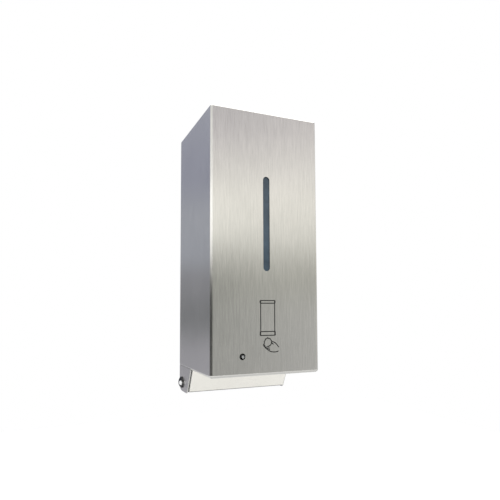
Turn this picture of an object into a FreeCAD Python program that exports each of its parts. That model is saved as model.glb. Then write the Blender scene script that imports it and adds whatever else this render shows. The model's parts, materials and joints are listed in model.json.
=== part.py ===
import FreeCAD, Part
import math
import os

from FreeCAD import Vector

# A wall mounted automatic foam soap dispenser: a folded steel cover that swings down on two pivots
# at the foot of a back plate, over a soap tank, a battery box and a motor driven pump.
# Millimetres. +X is to the user's right, +Y goes into the wall and +Z is up.
# Heights in this file are counted from the lower edge of the cover, and y = 0 is the wall.
# save() lowers every piece, so that the middle of the four wall holes becomes the origin.

# ---- How an edge is picked: how near to an axis, in cosine, and how near to a place, in millimetres
ALONG = 0.99
NEAR = 0.1

# ---- Cover and back plate
COVER_W = 115.0
COVER_D = 110.0
COVER_H = 258.0
SHEET_T = 1.2
COVER_REAR_GAP = 0.8
FRONT_BEND_R = 2.8
TOP_BEND_R = 1.2
LIP_DEPTH = 10.0
LIP_RELIEF = 1.2
PLATE_T = 1.5
PLATE_BEND_R = 2.2
PLATE_TOP_GAP = 1.8
SLIDE_GAP = 0.4
FLANGE_DEPTH = 12.0
TOP_FLANGE_DEPTH = 11.0
CHEEK_SHOULDER_H = 22.0

# ---- Pivots, ears and chin
PIVOT_Y = -10.0
PIVOT_H = -17.0
PIVOT_R = 3.0
PIVOT_HEAD_R = 5.75
PIVOT_HEAD_H = 2.2
PIVOT_RIM_T = 0.6
PIVOT_TAIL_R = 2.0
PIVOT_TAIL_HEAD_R = 4.0
PIVOT_TAIL_HEAD_T = 1.5
PIVOT_WASHER_R = 6.2
PIVOT_WASHER_T = 0.7
PIVOT_PLAY = 0.05
WASHER_PLAY = 0.15
EAR_FRONT_Y = -44.4
EAR_TIP_R = 4.0
SLANT = math.radians(28.1)
CHIN_LEAD = 2.2
CHIN_T = 1.2
CHIN_BOTTOM_H = -24.6
CHIN_TOP_FLANGE = 10.0
CHIN_REAR_FLANGE_H = 16.0
CHIN_BEND_R = 2.0
CHIN_SIDE_GAP = 0.3
CHIN_STUD_X = 30.0
CHIN_STUD_UP = 9.0

# ---- Wall holes and welded studs
WALL_HOLE_R = 2.75
WALL_HOLE_SPACING_X = 84.0
UPPER_HOLE_DROP = 23.0
LOWER_HOLE_RISE = 17.0
STUD_R = 2.0
STUD_LENGTH = 8.0
STUD_HOLE_R = 2.2
NUT_FLATS = 7.0
NUT_T = 3.0
NUT_FLANGE_R = 4.4
NUT_FLANGE_T = 0.8
SCREW_R = 1.5
SCREW_HEAD_R = 2.8
SCREW_HEAD_T = 1.9
SCREW_SOCKET_R = 1.1
SCREW_SOCKET_DEPTH = 1.2
SCREW_LENGTH = 8.0
SCREW_HOLE_BEYOND = 1.0

# ---- Slot, window and indicator
SLOT_W = 7.0
SLOT_BOTTOM_H = 100.5
SLOT_TOP_H = 193.8
WINDOW_T = 2.0
WINDOW_HALF_W = 11.0
WINDOW_OVERLAP = 10.5
WINDOW_STUD_X = 7.0
WINDOW_STUD_BEYOND = 6.0
WINDOW_STUD_R = 1.5
WINDOW_STUD_LENGTH = 4.0
WINDOW_STUD_PLAY = 0.2
CLIP_R = 3.6
CLIP_T = 0.8
INDICATOR_X = -25.6
INDICATOR_H = 18.9
INDICATOR_HOLE_R = 3.1

# ---- Lock and striker
LOCK_BACK = 27.0
LOCK_FLANGE_R = 11.0
LOCK_FLANGE_T = 1.5
LOCK_BODY_R = 9.0
LOCK_BODY_DEPTH = 8.5
LOCK_NUT_T = 3.0
LOCK_NUT_FLATS = 22.0
PLUG_R = 6.0
PLUG_PROUD = 1.2
PLUG_PLAY = 0.05
PLUG_RIM_W = 1.5
PLUG_RIM_GAP = 0.3
PLUG_TAIL_R = 4.5
CAM_GAP = 3.5
CAM_T = 2.5
CAM_HUB_R = 7.5
CAM_ARM_W = 8.0
CAM_INNER_R = 20.0
CAM_OUTER_R = 23.0
CAM_FINGER_H = 5.5
STRIKER_HALF_W = 8.0
STRIKER_GAP = 0.8
STRIKER_T = 1.2
KEY_SLOT_L = 7.0
KEY_SLOT_W = 1.4
KEY_SLOT_DEPTH = 5.0

# ---- Drive case
CASE_SIDE_GAP = 2.9
CASE_BOTTOM_H = 2.5
CASE_TOP_H = 78.0
CASE_WALL = 2.2
CASE_EDGE_R = 3.0
CASE_FRONT_GAP = 4.8
FRONT_COVER_T = 2.5
FRONT_COVER_EDGE_R = 0.8
CORNER_BOSS_R = 4.0
CORNER_BOSS_IN = 5.2
CORNER_BOSS_L = 12.0
CASE_STUD_X = 41.0
CASE_STUD_HEIGHTS = (10.0, 70.0)
DECK_HOLE_R = 22.0
LEAD_SLOT_X = -18.0
LEAD_SLOT_Y = -18.0
LEAD_SLOT_HALF = 5.0

# ---- Pump
PUMP_Y = -74.0
STROKE = 8.0
STEM_R = 4.8
STEM_BORE_R = 2.2
STEM_BOTTOM_H = 9.0
YOKE_BOTTOM_H = 16.0
YOKE_T = 4.0
STEM_FLANGE_R = 9.0
STEM_FLANGE_T = 3.0
BARREL_BOTTOM_H = 43.0
BARREL_R = 13.0
BARREL_BORE_R = 10.0
BARREL_END_T = 2.0
BARREL_TOP_H = 66.0
BARREL_FLANGE_R = 17.0
BARREL_FLANGE_T = 3.0
RUNNING_PLAY = 0.05
PISTON_REST_GAP = 0.3
PISTON_R = 9.5
PISTON_T = 4.8
SEAL_GROOVE_DEPTH = 1.6
SEAL_T = 2.0
INLET_R = 2.2
BALL_R = 2.8
GASKET_T = 1.0
NECK_BORE_R = 12.0
COLLAR_WALL = 4.0
COLLAR_PLAY = 0.2
COLLAR_LIP_T = 3.5
COLLAR_RISE = 5.0
COLLAR_EDGE_R = 0.8
COLLAR_GROOVES = 24
COLLAR_GROOVE_R = 1.0
COLLAR_GROOVE_OUT = 0.3
COLLAR_GROOVE_END = 1.5
NOZZLE_BOTTOM_H = 3.5
NOZZLE_TOP_H = 15.0
NOZZLE_TOP_R = 6.8
NOZZLE_TIP_R = 5.4
NOZZLE_MOUTH_R = 3.4
MESH_T = 2.0
MESH_PITCH = 1.3
MESH_HOLE_HALF = 0.5
MESH_REACH = 2.5
NOZZLE_HOLE_R = 11.0
SPRING_R = 7.2
SPRING_WIRE_R = 0.6
SPRING_TURNS = 6
ROD_X = 26.0
ROD_R = 2.0
ROD_SOCKET_R = 3.5
ROD_SOCKET_H = 4.0
BUSH_R = 5.0
BUSH_RISE = 3.0
YOKE_ARM_W = 7.0
YOKE_RING_W = 2.0
YOKE_STEM_PLAY = 0.3

# ---- Gear train: sideways places and heights of the axes, and the depth of each layer
PRESSURE_ANGLE = math.radians(25.0)
ADDENDUM = 0.9
DEDENDUM = 1.25
TOOTH_THINNING = 0.08
MODULE_FAST = 0.8
MODULE_SLOW = 1.0
MOTOR_TEETH = 10
FAST_WHEEL_TEETH = 40
SLOW_PINION_TEETH = 12
SLOW_WHEEL_TEETH = 30
RACK_PINION_TEETH = 14
RACK_PITCH_X = 17.0
RACK_BACK_T = 4.0
RACK_SPARE_TEETH = 5
RACK_TOOTH_INSIDE = 0.5
OUTPUT_H = 30.0
OUTPUT_TO_COUNTER_ANGLE = math.radians(69.0)
COUNTER_TO_MOTOR_ANGLE = math.radians(145.0)
FRAME_FACE_Y = -40.0
FRAME_T = 2.5
FAST_LAYER_Y = -41.0
FAST_GEAR_W = 5.0
SLOW_LAYER_Y = -47.0
SLOW_GEAR_W = 6.0
RACK_LAYER_Y = -54.0
RACK_W = 6.0
GEAR_COVER_Y = -62.0
GEAR_COVER_T = 2.0
GEAR_COVER_LEFT_X = 18.6
GEAR_COVER_BOTTOM_H = 20.0
GEAR_COVER_TOP_GAP = 4.0
GEAR_END_PLAY = 0.3
GEAR_FRAME_LEFT_X = 3.0
GEAR_FRAME_SIDE_GAP = 0.5
GEAR_FRAME_FOOT_GAP = 3.0
GEAR_FRAME_TOP_GAP = 1.0
PLATE_CORNER_R = 3.0
AXLE_R = 1.5
HUB_R = 3.0
FRAME_POST_R = 3.5
FRAME_POSTS = ((9.0, 13.0), (31.0, 12.0), (30.0, 70.5), (7.0, 38.0))
GEAR_POST_R = 3.0
GEAR_COVER_POSTS = ((45.0, 24.0), (44.5, 66.5))
MOTOR_R = 12.0
MOTOR_L = 26.0
MOTOR_NECK_R = 3.5
MOTOR_NECK_L = 1.4
MOTOR_EDGE_R = 1.0
MOTOR_FLAT_DEPTH = 1.0
SHAFT_R = 1.0
SHAFT_INSIDE = 8.0
SHAFT_END_PLAY = 0.5
SHAFT_BEYOND = 1.0

# ---- Soap tank
TANK_FRONT_GAP = 6.3
TANK_REAR_GAP = 3.0
TANK_SIDE_GAP = 5.4
TANK_TOP_GAP = 46.0
TANK_WALL = 2.0
TANK_EDGE_R = 6.0
TANK_TOP_EDGE_R = 2.5
FILL_X = -26.0
FILL_Y = -72.0
FILL_NECK_R = 15.0
FILL_BORE_R = 12.5
FILL_NECK_H = 7.0
LUG_R = 16.4
LUG_ANGLE = 30.0
LUG_UP = 3.6
LUG_T = 1.5
CAP_R = 18.0
CAP_PLAY = 0.3
CAP_LIP_T = 2.7
CAP_TOP_T = 3.0
CAP_SLOT_ANGLE = 38.0
CAP_GRIP_H = 3.0
CAP_GRIP_W = 7.0
CAP_GRIP_IN = 2.0
CAP_GRIP_R = 3.4
CAP_EDGE_R = 1.0
CAP_RIBS = 20
CAP_RIB_R = 1.4
CAP_RIB_OUT = 0.6
CAP_RIB_END = 2.5
CAP_SEAL_T = 1.2

# ---- Battery box
CELL_R = 13.1
CELL_L = 50.0
CELL_GAP = 0.9
CELL_EDGE_R = 1.2
CELL_RIB_IN = 6.0
BOX_WALL = 2.0
BOX_RISE = 8.0
BOX_EDGE_R = 3.0
BOX_TOP_GAP = 8.0
CELL_SPRING_H = 7.5
CELL_SPRING_R = 5.0
CELL_SPRING_WIRE_R = 0.35
CELL_SPRING_TURNS = 4
CONTACT_T = 0.5
CONTACT_HALF = 6.0
CONTACT_DEPTH = 4.0
NUB_R = 3.2
NUB_H = 1.5
DOOR_T = 2.5
TAB_W = 10.0
TAB_H = 14.0
HOOK_HALF_W = 5.0
HOOK_L = 2.5
HOOK_T = 1.5
DOOR_GROOVES = 4
DOOR_GROOVE_HALF_W = 12.0
DOOR_GROOVE_H = 2.0
DOOR_GROOVE_PITCH = 4.0
DOOR_GROOVE_DEPTH = 0.8
DOOR_GROOVE_DROP = 12.0

# ---- Circuit boards, sensor, light and switch
BOARD_T = 1.6
BOARD_LEFT_X = -44.0
BOARD_RIGHT_X = -4.0
BOARD_BOTTOM_H = 16.0
BOARD_TOP_H = 62.0
BOARD_STANDOFF = 6.5
BOARD_BOSS_R = 3.0
BOARD_INSET = 4.0
SENSOR_X = -38.0
SENSOR_HALF_W = 8.0
SENSOR_MID_Y = -73.0
SENSOR_HALF_L = 19.0
SENSOR_BOARD_H = 12.0
SENSOR_BOSS_R = 2.5
SENSOR_BOSS_IN = 3.0
SENSOR_SPACING = 12.0
EYE_R = 2.5
EYE_L = 6.0
EYE_RIM_W = 0.5
EYE_RIM_T = 1.0
SENSOR_WINDOW_HALF_W = 6.0
SENSOR_WINDOW_HALF_L = 11.0
SENSOR_WINDOW_RIM = 1.5
SENSOR_WINDOW_RIM_T = 1.0
PANE_PLAY = 0.1
LIGHT_R = 1.9
LIGHT_SIDE = 2.1
LIGHT_DROP = 0.6
LIGHT_PLAY = 0.1
LIGHT_PROUD = 2.8
LIGHT_COLLAR_R = 3.4
LIGHT_COLLAR_T = 1.2
LIGHT_TAIL = 2.0
LED_BOARD_W = 17.0
LED_BOARD_H = 18.0
LED_BOARD_BACK = 5.0
LED_R = 1.5
LED_POST_R = 2.0
LED_POST_IN = 3.0
LIGHT_DOME_H = 1.0
SWITCH_X = 34.0
SWITCH_H = 22.0
SWITCH_W = 12.4
SWITCH_L = 19.4
SWITCH_RIM = 1.8
SWITCH_RIM_T = 1.6
SWITCH_DEPTH = 13.0
SWITCH_PLAY = 0.1
SWITCH_EDGE_R = 1.0
ROCKER_W = 9.0
ROCKER_R = 7.6
ROCKER_PLAY = 0.35
ROCKER_THROW = 20.0
ROCKER_SINK = 1.0
CAPACITOR_R = 3.2
CAPACITOR_L = 11.0
CAPACITOR_H = 28.0
CAPACITOR_PLACES = (-34.0, -26.5)
# Each chip's x, height, half width, half height and depth
CHIPS = ((-17.5, 28.0, 5.0, 6.0, 9.0), (-28.0, 43.0, 5.0, 5.0, 1.4), (-18.0, 42.0, 2.5, 3.5, 1.6))
# Each plug's width, depth and height
POWER_PLUG = (10.0, 8.0, 9.0)
MOTOR_PLUG = (8.0, 8.0, 9.0)
MOTOR_PLUG_TOP_H = 50.0
MOTOR_PLUG_EDGE_GAP = 1.0
WIRE_R = 0.7
BATTERY_LEAD_PITCH = 4.0
BATTERY_LEAD_SPREAD = 1.0
BATTERY_LEAD_RISE = 8.0
BATTERY_LEAD_BEND_R = 3.0
MOTOR_LEAD_PITCH = 5.0
MOTOR_PLUG_PITCH = 3.0
MOTOR_LEAD_BEYOND = 3.5
MOTOR_TAG_X = 4.0
MOTOR_LEAD_TURN_X = 12.0
MOTOR_LEAD_RUN_OUT = 3.0
MOTOR_LEAD_BEND_R = 2.0

# ---- Worked out from the values above
HALF_W = COVER_W / 2
COVER_INNER_X = HALF_W - SHEET_T
COVER_INNER_FRONT = -COVER_D + SHEET_T
COVER_INNER_TOP = COVER_H - SHEET_T
PLATE_HALF_W = COVER_INNER_X - SLIDE_GAP
PLATE_FRONT = -PLATE_T
PLATE_TOP_H = COVER_INNER_TOP - PLATE_TOP_GAP
EAR_R = -COVER_REAR_GAP - PIVOT_Y
EAR_BOTTOM_H = PIVOT_H - EAR_R
CHIN_FACE_Y = EAR_FRONT_Y - CHIN_LEAD
CHIN_INNER_Y = CHIN_FACE_Y + CHIN_T / math.cos(SLANT)
UPPER_HOLE_H = COVER_H - UPPER_HOLE_DROP
LOWER_HOLE_H = CASE_TOP_H + LOWER_HOLE_RISE
WALL_HOLE_MID_H = (UPPER_HOLE_H + LOWER_HOLE_H) / 2
CASE_HALF_W = PLATE_HALF_W - PLATE_T - CASE_SIDE_GAP
CASE_COVER_FACE = COVER_INNER_FRONT + CASE_FRONT_GAP
CASE_FRONT = CASE_COVER_FACE + FRONT_COVER_T
CASE_FLOOR_H = CASE_BOTTOM_H + CASE_WALL
CASE_CEILING_H = CASE_TOP_H - CASE_WALL
CASE_REAR_INNER = PLATE_FRONT - CASE_WALL
PISTON_BOTTOM_H = BARREL_BOTTOM_H + BARREL_END_T + PISTON_REST_GAP
BARREL_TOP_FACE_H = BARREL_TOP_H + BARREL_FLANGE_T
NECK_BOTTOM_H = BARREL_TOP_FACE_H + GASKET_T
COLLAR_BORE_R = BARREL_FLANGE_R + COLLAR_PLAY
COLLAR_R = COLLAR_BORE_R + COLLAR_WALL
CELL_X = CELL_R + CELL_GAP
BOX_HALF_W = 2 * CELL_R + 2 * CELL_GAP + BOX_WALL
BOX_BOTTOM_H = CASE_TOP_H + BOX_RISE
BOX_FLOOR_H = BOX_BOTTOM_H + BOX_WALL
LOCK_Y = -LOCK_BACK
LOCK_BODY_BOTTOM_H = COVER_H - LOCK_BODY_DEPTH
CAM_TOP_H = LOCK_BODY_BOTTOM_H - CAM_GAP
CAM_BOTTOM_H = CAM_TOP_H - CAM_T
BOX_EXTRA_H = CELL_SPRING_H + CONTACT_T + CONTACT_DEPTH
CELLS_PER_COLUMN = int((CAM_BOTTOM_H - BOX_TOP_GAP - BOX_WALL - BOX_EXTRA_H - BOX_FLOOR_H) // CELL_L)
COLUMN_L = CELLS_PER_COLUMN * CELL_L
BOX_CEILING_H = BOX_FLOOR_H + COLUMN_L + BOX_EXTRA_H
BOX_REAR_INNER = PLATE_FRONT - BOX_WALL
CELL_Y = BOX_REAR_INNER - CELL_R - CELL_GAP
BOX_FRONT = CELL_Y - CELL_R - CELL_GAP
DOOR_FACE = BOX_FRONT - DOOR_T
TANK_HALF_W = PLATE_HALF_W - PLATE_T - TANK_SIDE_GAP
TANK_FRONT = COVER_INNER_FRONT + TANK_FRONT_GAP
TANK_REAR = DOOR_FACE - TANK_REAR_GAP
TANK_TOP_H = COVER_H - TANK_TOP_GAP
OUTPUT_X = RACK_PITCH_X + MODULE_SLOW * RACK_PINION_TEETH / 2
RACK_TEETH = math.ceil(STROKE / (math.pi * MODULE_SLOW)) + RACK_SPARE_TEETH
SLOW_DISTANCE = MODULE_SLOW * (SLOW_PINION_TEETH + SLOW_WHEEL_TEETH) / 2
FAST_DISTANCE = MODULE_FAST * (MOTOR_TEETH + FAST_WHEEL_TEETH) / 2
COUNTER_X = OUTPUT_X + SLOW_DISTANCE * math.cos(OUTPUT_TO_COUNTER_ANGLE)
COUNTER_H = OUTPUT_H + SLOW_DISTANCE * math.sin(OUTPUT_TO_COUNTER_ANGLE)
MOTOR_X = COUNTER_X + FAST_DISTANCE * math.cos(COUNTER_TO_MOTOR_ANGLE)
MOTOR_H = COUNTER_H + FAST_DISTANCE * math.sin(COUNTER_TO_MOTOR_ANGLE)
BOARD_BACK_Y = CASE_REAR_INNER - BOARD_STANDOFF
BOARD_FACE_Y = BOARD_BACK_Y - BOARD_T
ROCKER_Y = CASE_COVER_FACE - SWITCH_RIM_T + ROCKER_SINK
LIGHT_X = INDICATOR_X + LIGHT_SIDE
LIGHT_H = INDICATOR_H - LIGHT_DROP

OUT = Vector(0, -1, 0)
UP = Vector(0, 0, 1)
ACROSS = Vector(1, 0, 0)
DOWN = Vector(0, 0, -1)


# ---- Shape helpers
def block(x0, x1, y0, y1, z0, z1):
    return Part.makeBox(x1 - x0, y1 - y0, z1 - z0, Vector(x0, y0, z0))


def centred_block(x, y, half_x, half_y, z0, z1):
    return block(x - half_x, x + half_x, y - half_y, y + half_y, z0, z1)


def upright(radius, x, y, z0, z1):
    return Part.makeCylinder(radius, z1 - z0, Vector(x, y, z0), UP)


def forward(radius, x, z, y_rear, y_front):
    return Part.makeCylinder(radius, y_rear - y_front, Vector(x, y_rear, z), OUT)


def tube(outer_r, inner_r, x, y, z0, z1):
    return upright(outer_r, x, y, z0, z1).cut(upright(inner_r, x, y, z0, z1))


def side_prism(points, x0, x1):
    """A prism along X whose outline is given as (y, height) points."""
    corners = [Vector(x0, y, z) for y, z in points]
    face = Part.Face(Part.makePolygon(corners + corners[:1]))
    return face.extrude(Vector(x1 - x0, 0, 0))


def join(parts):
    whole = parts[0]
    for part in parts[1:]:
        whole = whole.fuse(part)
    return whole.removeSplitter()


def cut_all(shape, tools):
    for tool in tools:
        shape = shape.cut(tool)
    return shape


def round_edges(shape, radius, wanted):
    """Fillet the straight edges whose middle and direction pass the test."""
    chosen = []
    for edge in shape.Edges:
        if len(edge.Vertexes) == 2:
            start, end = edge.Vertexes[0].Point, edge.Vertexes[1].Point
            if wanted((start + end) * 0.5, (end - start).normalize()):
                chosen.append(edge)
    return shape.makeFillet(radius, chosen)


def is_along(direction, axis):
    return abs(direction.dot(axis)) > ALONG


def is_near(value, wanted):
    return abs(value - wanted) < NEAR


def upright_edges(shape, radius):
    return round_edges(shape, radius, lambda middle, direction: is_along(direction, UP))


def forward_edges(shape, radius):
    return round_edges(shape, radius, lambda middle, direction: is_along(direction, OUT))


def dome(radius, height):
    """A spherical cap that stands on z = 0."""
    sphere_r = (radius ** 2 + height ** 2) / (2 * height)
    sphere = Part.makeSphere(sphere_r, Vector(0, 0, height - sphere_r))
    return sphere.common(Part.makeCylinder(2 * radius, height))


def hexagon(flats, thickness):
    corner_r = flats / math.sqrt(3)
    corners = [Vector(corner_r * math.cos(k * math.pi / 3), corner_r * math.sin(k * math.pi / 3), 0)
               for k in range(6)]
    return Part.Face(Part.makePolygon(corners + corners[:1])).extrude(Vector(0, 0, thickness))


def aim(shape, place, direction):
    """Turn a shape that was made along +Z to a direction, and move it to its place."""
    turned = shape.copy()
    turned.Placement = FreeCAD.Placement(place, FreeCAD.Rotation(UP, direction))
    return turned


def save(name, shape):
    placed = shape.copy()
    placed.translate(Vector(0, 0, -WALL_HOLE_MID_H))
    placed.exportStep(os.path.join("parts", name + ".step"))


def group(solids):
    return Part.makeCompound(solids)


def mirrored(function):
    """The same piece on the left and on the right."""
    return [function(side) for side in (-1, 1)]


# ---- Fasteners
def flange_nut():
    body = hexagon(NUT_FLATS, NUT_T).fuse(Part.makeCylinder(NUT_FLANGE_R, NUT_FLANGE_T))
    return body.cut(Part.makeCylinder(STUD_R, NUT_T))


def pan_screw():
    """A pan head screw whose shank points down from z = 0."""
    shank = Part.makeCylinder(SCREW_R, SCREW_LENGTH, Vector(0, 0, -SCREW_LENGTH))
    head = Part.makeCylinder(SCREW_HEAD_R, SCREW_HEAD_T)
    head = head.makeFillet(SCREW_HEAD_T / 3, [head.Edges[0]])
    socket = hexagon(2 * SCREW_SOCKET_R, SCREW_SOCKET_DEPTH)
    socket.translate(Vector(0, 0, SCREW_HEAD_T - SCREW_SOCKET_DEPTH))
    return shank.fuse(head).cut(socket)


def screw_hole(seat, direction):
    return aim(Part.makeCylinder(SCREW_R, SCREW_LENGTH + SCREW_HOLE_BEYOND), seat, direction)


# ---- Stations that several pieces share
def wall_hole_places():
    return [(side * WALL_HOLE_SPACING_X / 2, height) for side in (-1, 1)
            for height in (LOWER_HOLE_H, UPPER_HOLE_H)]


def case_stud_places():
    return [(side * CASE_STUD_X, height) for side in (-1, 1) for height in CASE_STUD_HEIGHTS]


def chin_stud_places():
    return [(side * CHIN_STUD_X, CHIN_BOTTOM_H + CHIN_STUD_UP) for side in (-1, 1)]


def box_stud_places():
    middle = (BOX_BOTTOM_H + BOX_CEILING_H + BOX_WALL) / 2
    return [(side * (BOX_HALF_W + TAB_W / 2), middle) for side in (-1, 1)]


def corner_boss_places():
    low = CASE_BOTTOM_H + CORNER_BOSS_IN
    high = CASE_TOP_H - CORNER_BOSS_IN
    return [(side * (CASE_HALF_W - CORNER_BOSS_IN), height) for side in (-1, 1) for height in (low, high)]


def board_boss_places():
    return [(x, height)
            for x in (BOARD_LEFT_X + BOARD_INSET, BOARD_RIGHT_X - BOARD_INSET)
            for height in (BOARD_BOTTOM_H + BOARD_INSET, BOARD_TOP_H - BOARD_INSET)]


def sensor_boss_places():
    reach = SENSOR_HALF_L - SENSOR_BOSS_IN
    return [(SENSOR_X, SENSOR_MID_Y + side * reach) for side in (-1, 1)]


def window_stud_places():
    return [(side * WINDOW_STUD_X, height) for side in (-1, 1)
            for height in (SLOT_BOTTOM_H - WINDOW_STUD_BEYOND, SLOT_TOP_H + WINDOW_STUD_BEYOND)]


def slant_y(y_at_zero, height):
    """The y of a line that leans back like the ears' front edges."""
    return y_at_zero - height * math.tan(SLANT)


# ---- Cover, which swings down
def ear_outline():
    return [(-COVER_REAR_GAP, SHEET_T), (EAR_FRONT_Y, SHEET_T), (EAR_FRONT_Y, 0),
            (slant_y(EAR_FRONT_Y, EAR_BOTTOM_H), EAR_BOTTOM_H),
            (PIVOT_Y, EAR_BOTTOM_H), (PIVOT_Y, PIVOT_H), (-COVER_REAR_GAP, PIVOT_H)]


def ear(side):
    inner, outer = side * COVER_INNER_X, side * HALF_W
    left, right = min(inner, outer), max(inner, outer)
    plate = side_prism(ear_outline(), left, right)
    tip_y = slant_y(EAR_FRONT_Y, EAR_BOTTOM_H)
    plate = round_edges(plate, EAR_TIP_R, lambda middle, direction:
                        is_near(middle.y, tip_y) and is_near(middle.z, EAR_BOTTOM_H))
    corner = Part.makeCylinder(EAR_R, SHEET_T, Vector(left, PIVOT_Y, PIVOT_H), ACROSS)
    hole = Part.makeCylinder(PIVOT_R + PIVOT_PLAY, 3 * SHEET_T,
                             Vector(left - SHEET_T, PIVOT_Y, PIVOT_H), ACROSS)
    return plate.fuse(corner).cut(hole)


def slot_cutter():
    low, high = SLOT_BOTTOM_H + SLOT_W / 2, SLOT_TOP_H - SLOT_W / 2
    y_rear, y_front = COVER_INNER_FRONT + 1, -COVER_D - 1
    middle = block(-SLOT_W / 2, SLOT_W / 2, y_front, y_rear, low, high)
    ends = [forward(SLOT_W / 2, 0, height, y_rear, y_front) for height in (low, high)]
    return join([middle] + ends)


def cover_shell():
    outer = block(-HALF_W, HALF_W, -COVER_D, -COVER_REAR_GAP, 0, COVER_H)
    outer = round_edges(outer, FRONT_BEND_R,
                        lambda middle, direction: is_along(direction, UP) and middle.y < -COVER_D / 2)
    outer = round_edges(outer, TOP_BEND_R, lambda middle, direction:
                        is_near(middle.z, COVER_H) and middle.y < -COVER_REAR_GAP - 1)
    outer = round_edges(outer, FRONT_BEND_R, lambda middle, direction:
                        is_near(middle.z, 0) and middle.y < -COVER_D + 1 and is_along(direction, ACROSS))
    inner = block(-COVER_INNER_X, COVER_INNER_X, COVER_INNER_FRONT, 0, SHEET_T, COVER_INNER_TOP)
    inner = round_edges(inner, FRONT_BEND_R - SHEET_T,
                        lambda middle, direction: is_along(direction, UP) and middle.y < -COVER_D / 2)
    mouth = block(-COVER_INNER_X, COVER_INNER_X, -COVER_D + LIP_DEPTH, 0, -1, SHEET_T + 1)
    reliefs = mirrored(lambda side: centred_block(
        side * (COVER_INNER_X - LIP_RELIEF / 2), -COVER_D + LIP_DEPTH / 2 + SHEET_T,
        LIP_RELIEF / 2, LIP_DEPTH / 2, -1, SHEET_T + 1))
    shell = cut_all(outer, [inner, mouth] + reliefs)
    shell = join([shell] + mirrored(ear))
    holes = [slot_cutter(),
             forward(INDICATOR_HOLE_R, INDICATOR_X, INDICATOR_H, COVER_INNER_FRONT + 1, -COVER_D - 1),
             upright(LOCK_BODY_R, 0, LOCK_Y, COVER_INNER_TOP - 1, COVER_H + 1)]
    return cut_all(shell, holes)


def window_studs():
    return group([forward(WINDOW_STUD_R, x, height, COVER_INNER_FRONT + WINDOW_STUD_LENGTH, COVER_INNER_FRONT)
                  for x, height in window_stud_places()])


def window_strip():
    strip = block(-WINDOW_HALF_W, WINDOW_HALF_W, COVER_INNER_FRONT, COVER_INNER_FRONT + WINDOW_T,
                  SLOT_BOTTOM_H - WINDOW_OVERLAP, SLOT_TOP_H + WINDOW_OVERLAP)
    strip = forward_edges(strip, WINDOW_T)
    holes = [forward(WINDOW_STUD_R + WINDOW_STUD_PLAY, x, height, COVER_INNER_FRONT + WINDOW_T + 1,
                     COVER_INNER_FRONT - 1) for x, height in window_stud_places()]
    return cut_all(strip, holes)


def window_clips():
    y_rear = COVER_INNER_FRONT + WINDOW_T + CLIP_T
    y_front = COVER_INNER_FRONT + WINDOW_T
    return group([forward(CLIP_R, x, height, y_rear, y_front).cut(
        forward(WINDOW_STUD_R, x, height, y_rear, y_front)) for x, height in window_stud_places()])


# ---- Lock on the cover's top
def lock_barrel():
    flange = upright(LOCK_FLANGE_R, 0, LOCK_Y, COVER_H, COVER_H + LOCK_FLANGE_T)
    flange = flange.makeFillet(LOCK_FLANGE_T / 2, [flange.Edges[0]])
    body = upright(LOCK_BODY_R, 0, LOCK_Y, LOCK_BODY_BOTTOM_H, COVER_H)
    bore = upright(PLUG_R + PLUG_PLAY, 0, LOCK_Y, LOCK_BODY_BOTTOM_H - 1, COVER_H + LOCK_FLANGE_T + 1)
    return flange.fuse(body).cut(bore)


def lock_nut():
    nut = hexagon(LOCK_NUT_FLATS, LOCK_NUT_T).cut(Part.makeCylinder(LOCK_BODY_R, LOCK_NUT_T))
    return aim(nut, Vector(0, LOCK_Y, COVER_INNER_TOP - LOCK_NUT_T), UP)


def lock_plug():
    top = COVER_H + LOCK_FLANGE_T + PLUG_PROUD
    body = upright(PLUG_R, 0, LOCK_Y, CAM_TOP_H, top)
    rim = tube(PLUG_R + PLUG_RIM_W, PLUG_R - PLUG_RIM_W, 0, LOCK_Y,
               COVER_H + LOCK_FLANGE_T + PLUG_RIM_GAP, top)
    tail = upright(PLUG_TAIL_R, 0, LOCK_Y, CAM_BOTTOM_H, CAM_TOP_H)
    key_slot = centred_block(0, LOCK_Y, KEY_SLOT_W / 2, KEY_SLOT_L / 2, top - KEY_SLOT_DEPTH, top + 1)
    pilot = upright(SCREW_R, 0, LOCK_Y, CAM_BOTTOM_H - 1, CAM_BOTTOM_H + SCREW_LENGTH)
    return cut_all(join([body, rim, tail]), [key_slot, pilot])


def lock_cam():
    """The cam points to +X when unlocked, and its finger stands behind the striker when locked."""
    hub = upright(CAM_HUB_R, 0, LOCK_Y, CAM_BOTTOM_H, CAM_TOP_H)
    arm = block(0, CAM_OUTER_R, LOCK_Y - CAM_ARM_W / 2, LOCK_Y + CAM_ARM_W / 2, CAM_BOTTOM_H, CAM_TOP_H)
    finger = block(CAM_INNER_R, CAM_OUTER_R, LOCK_Y - CAM_ARM_W / 2, LOCK_Y + CAM_ARM_W / 2,
                   CAM_TOP_H, CAM_TOP_H + CAM_FINGER_H)
    hole = upright(PLUG_TAIL_R, 0, LOCK_Y, CAM_BOTTOM_H - 1, CAM_TOP_H + 1)
    return join([hub, arm, finger]).cut(hole)


def cam_screw():
    return aim(pan_screw(), Vector(0, LOCK_Y, CAM_BOTTOM_H), DOWN)


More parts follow.
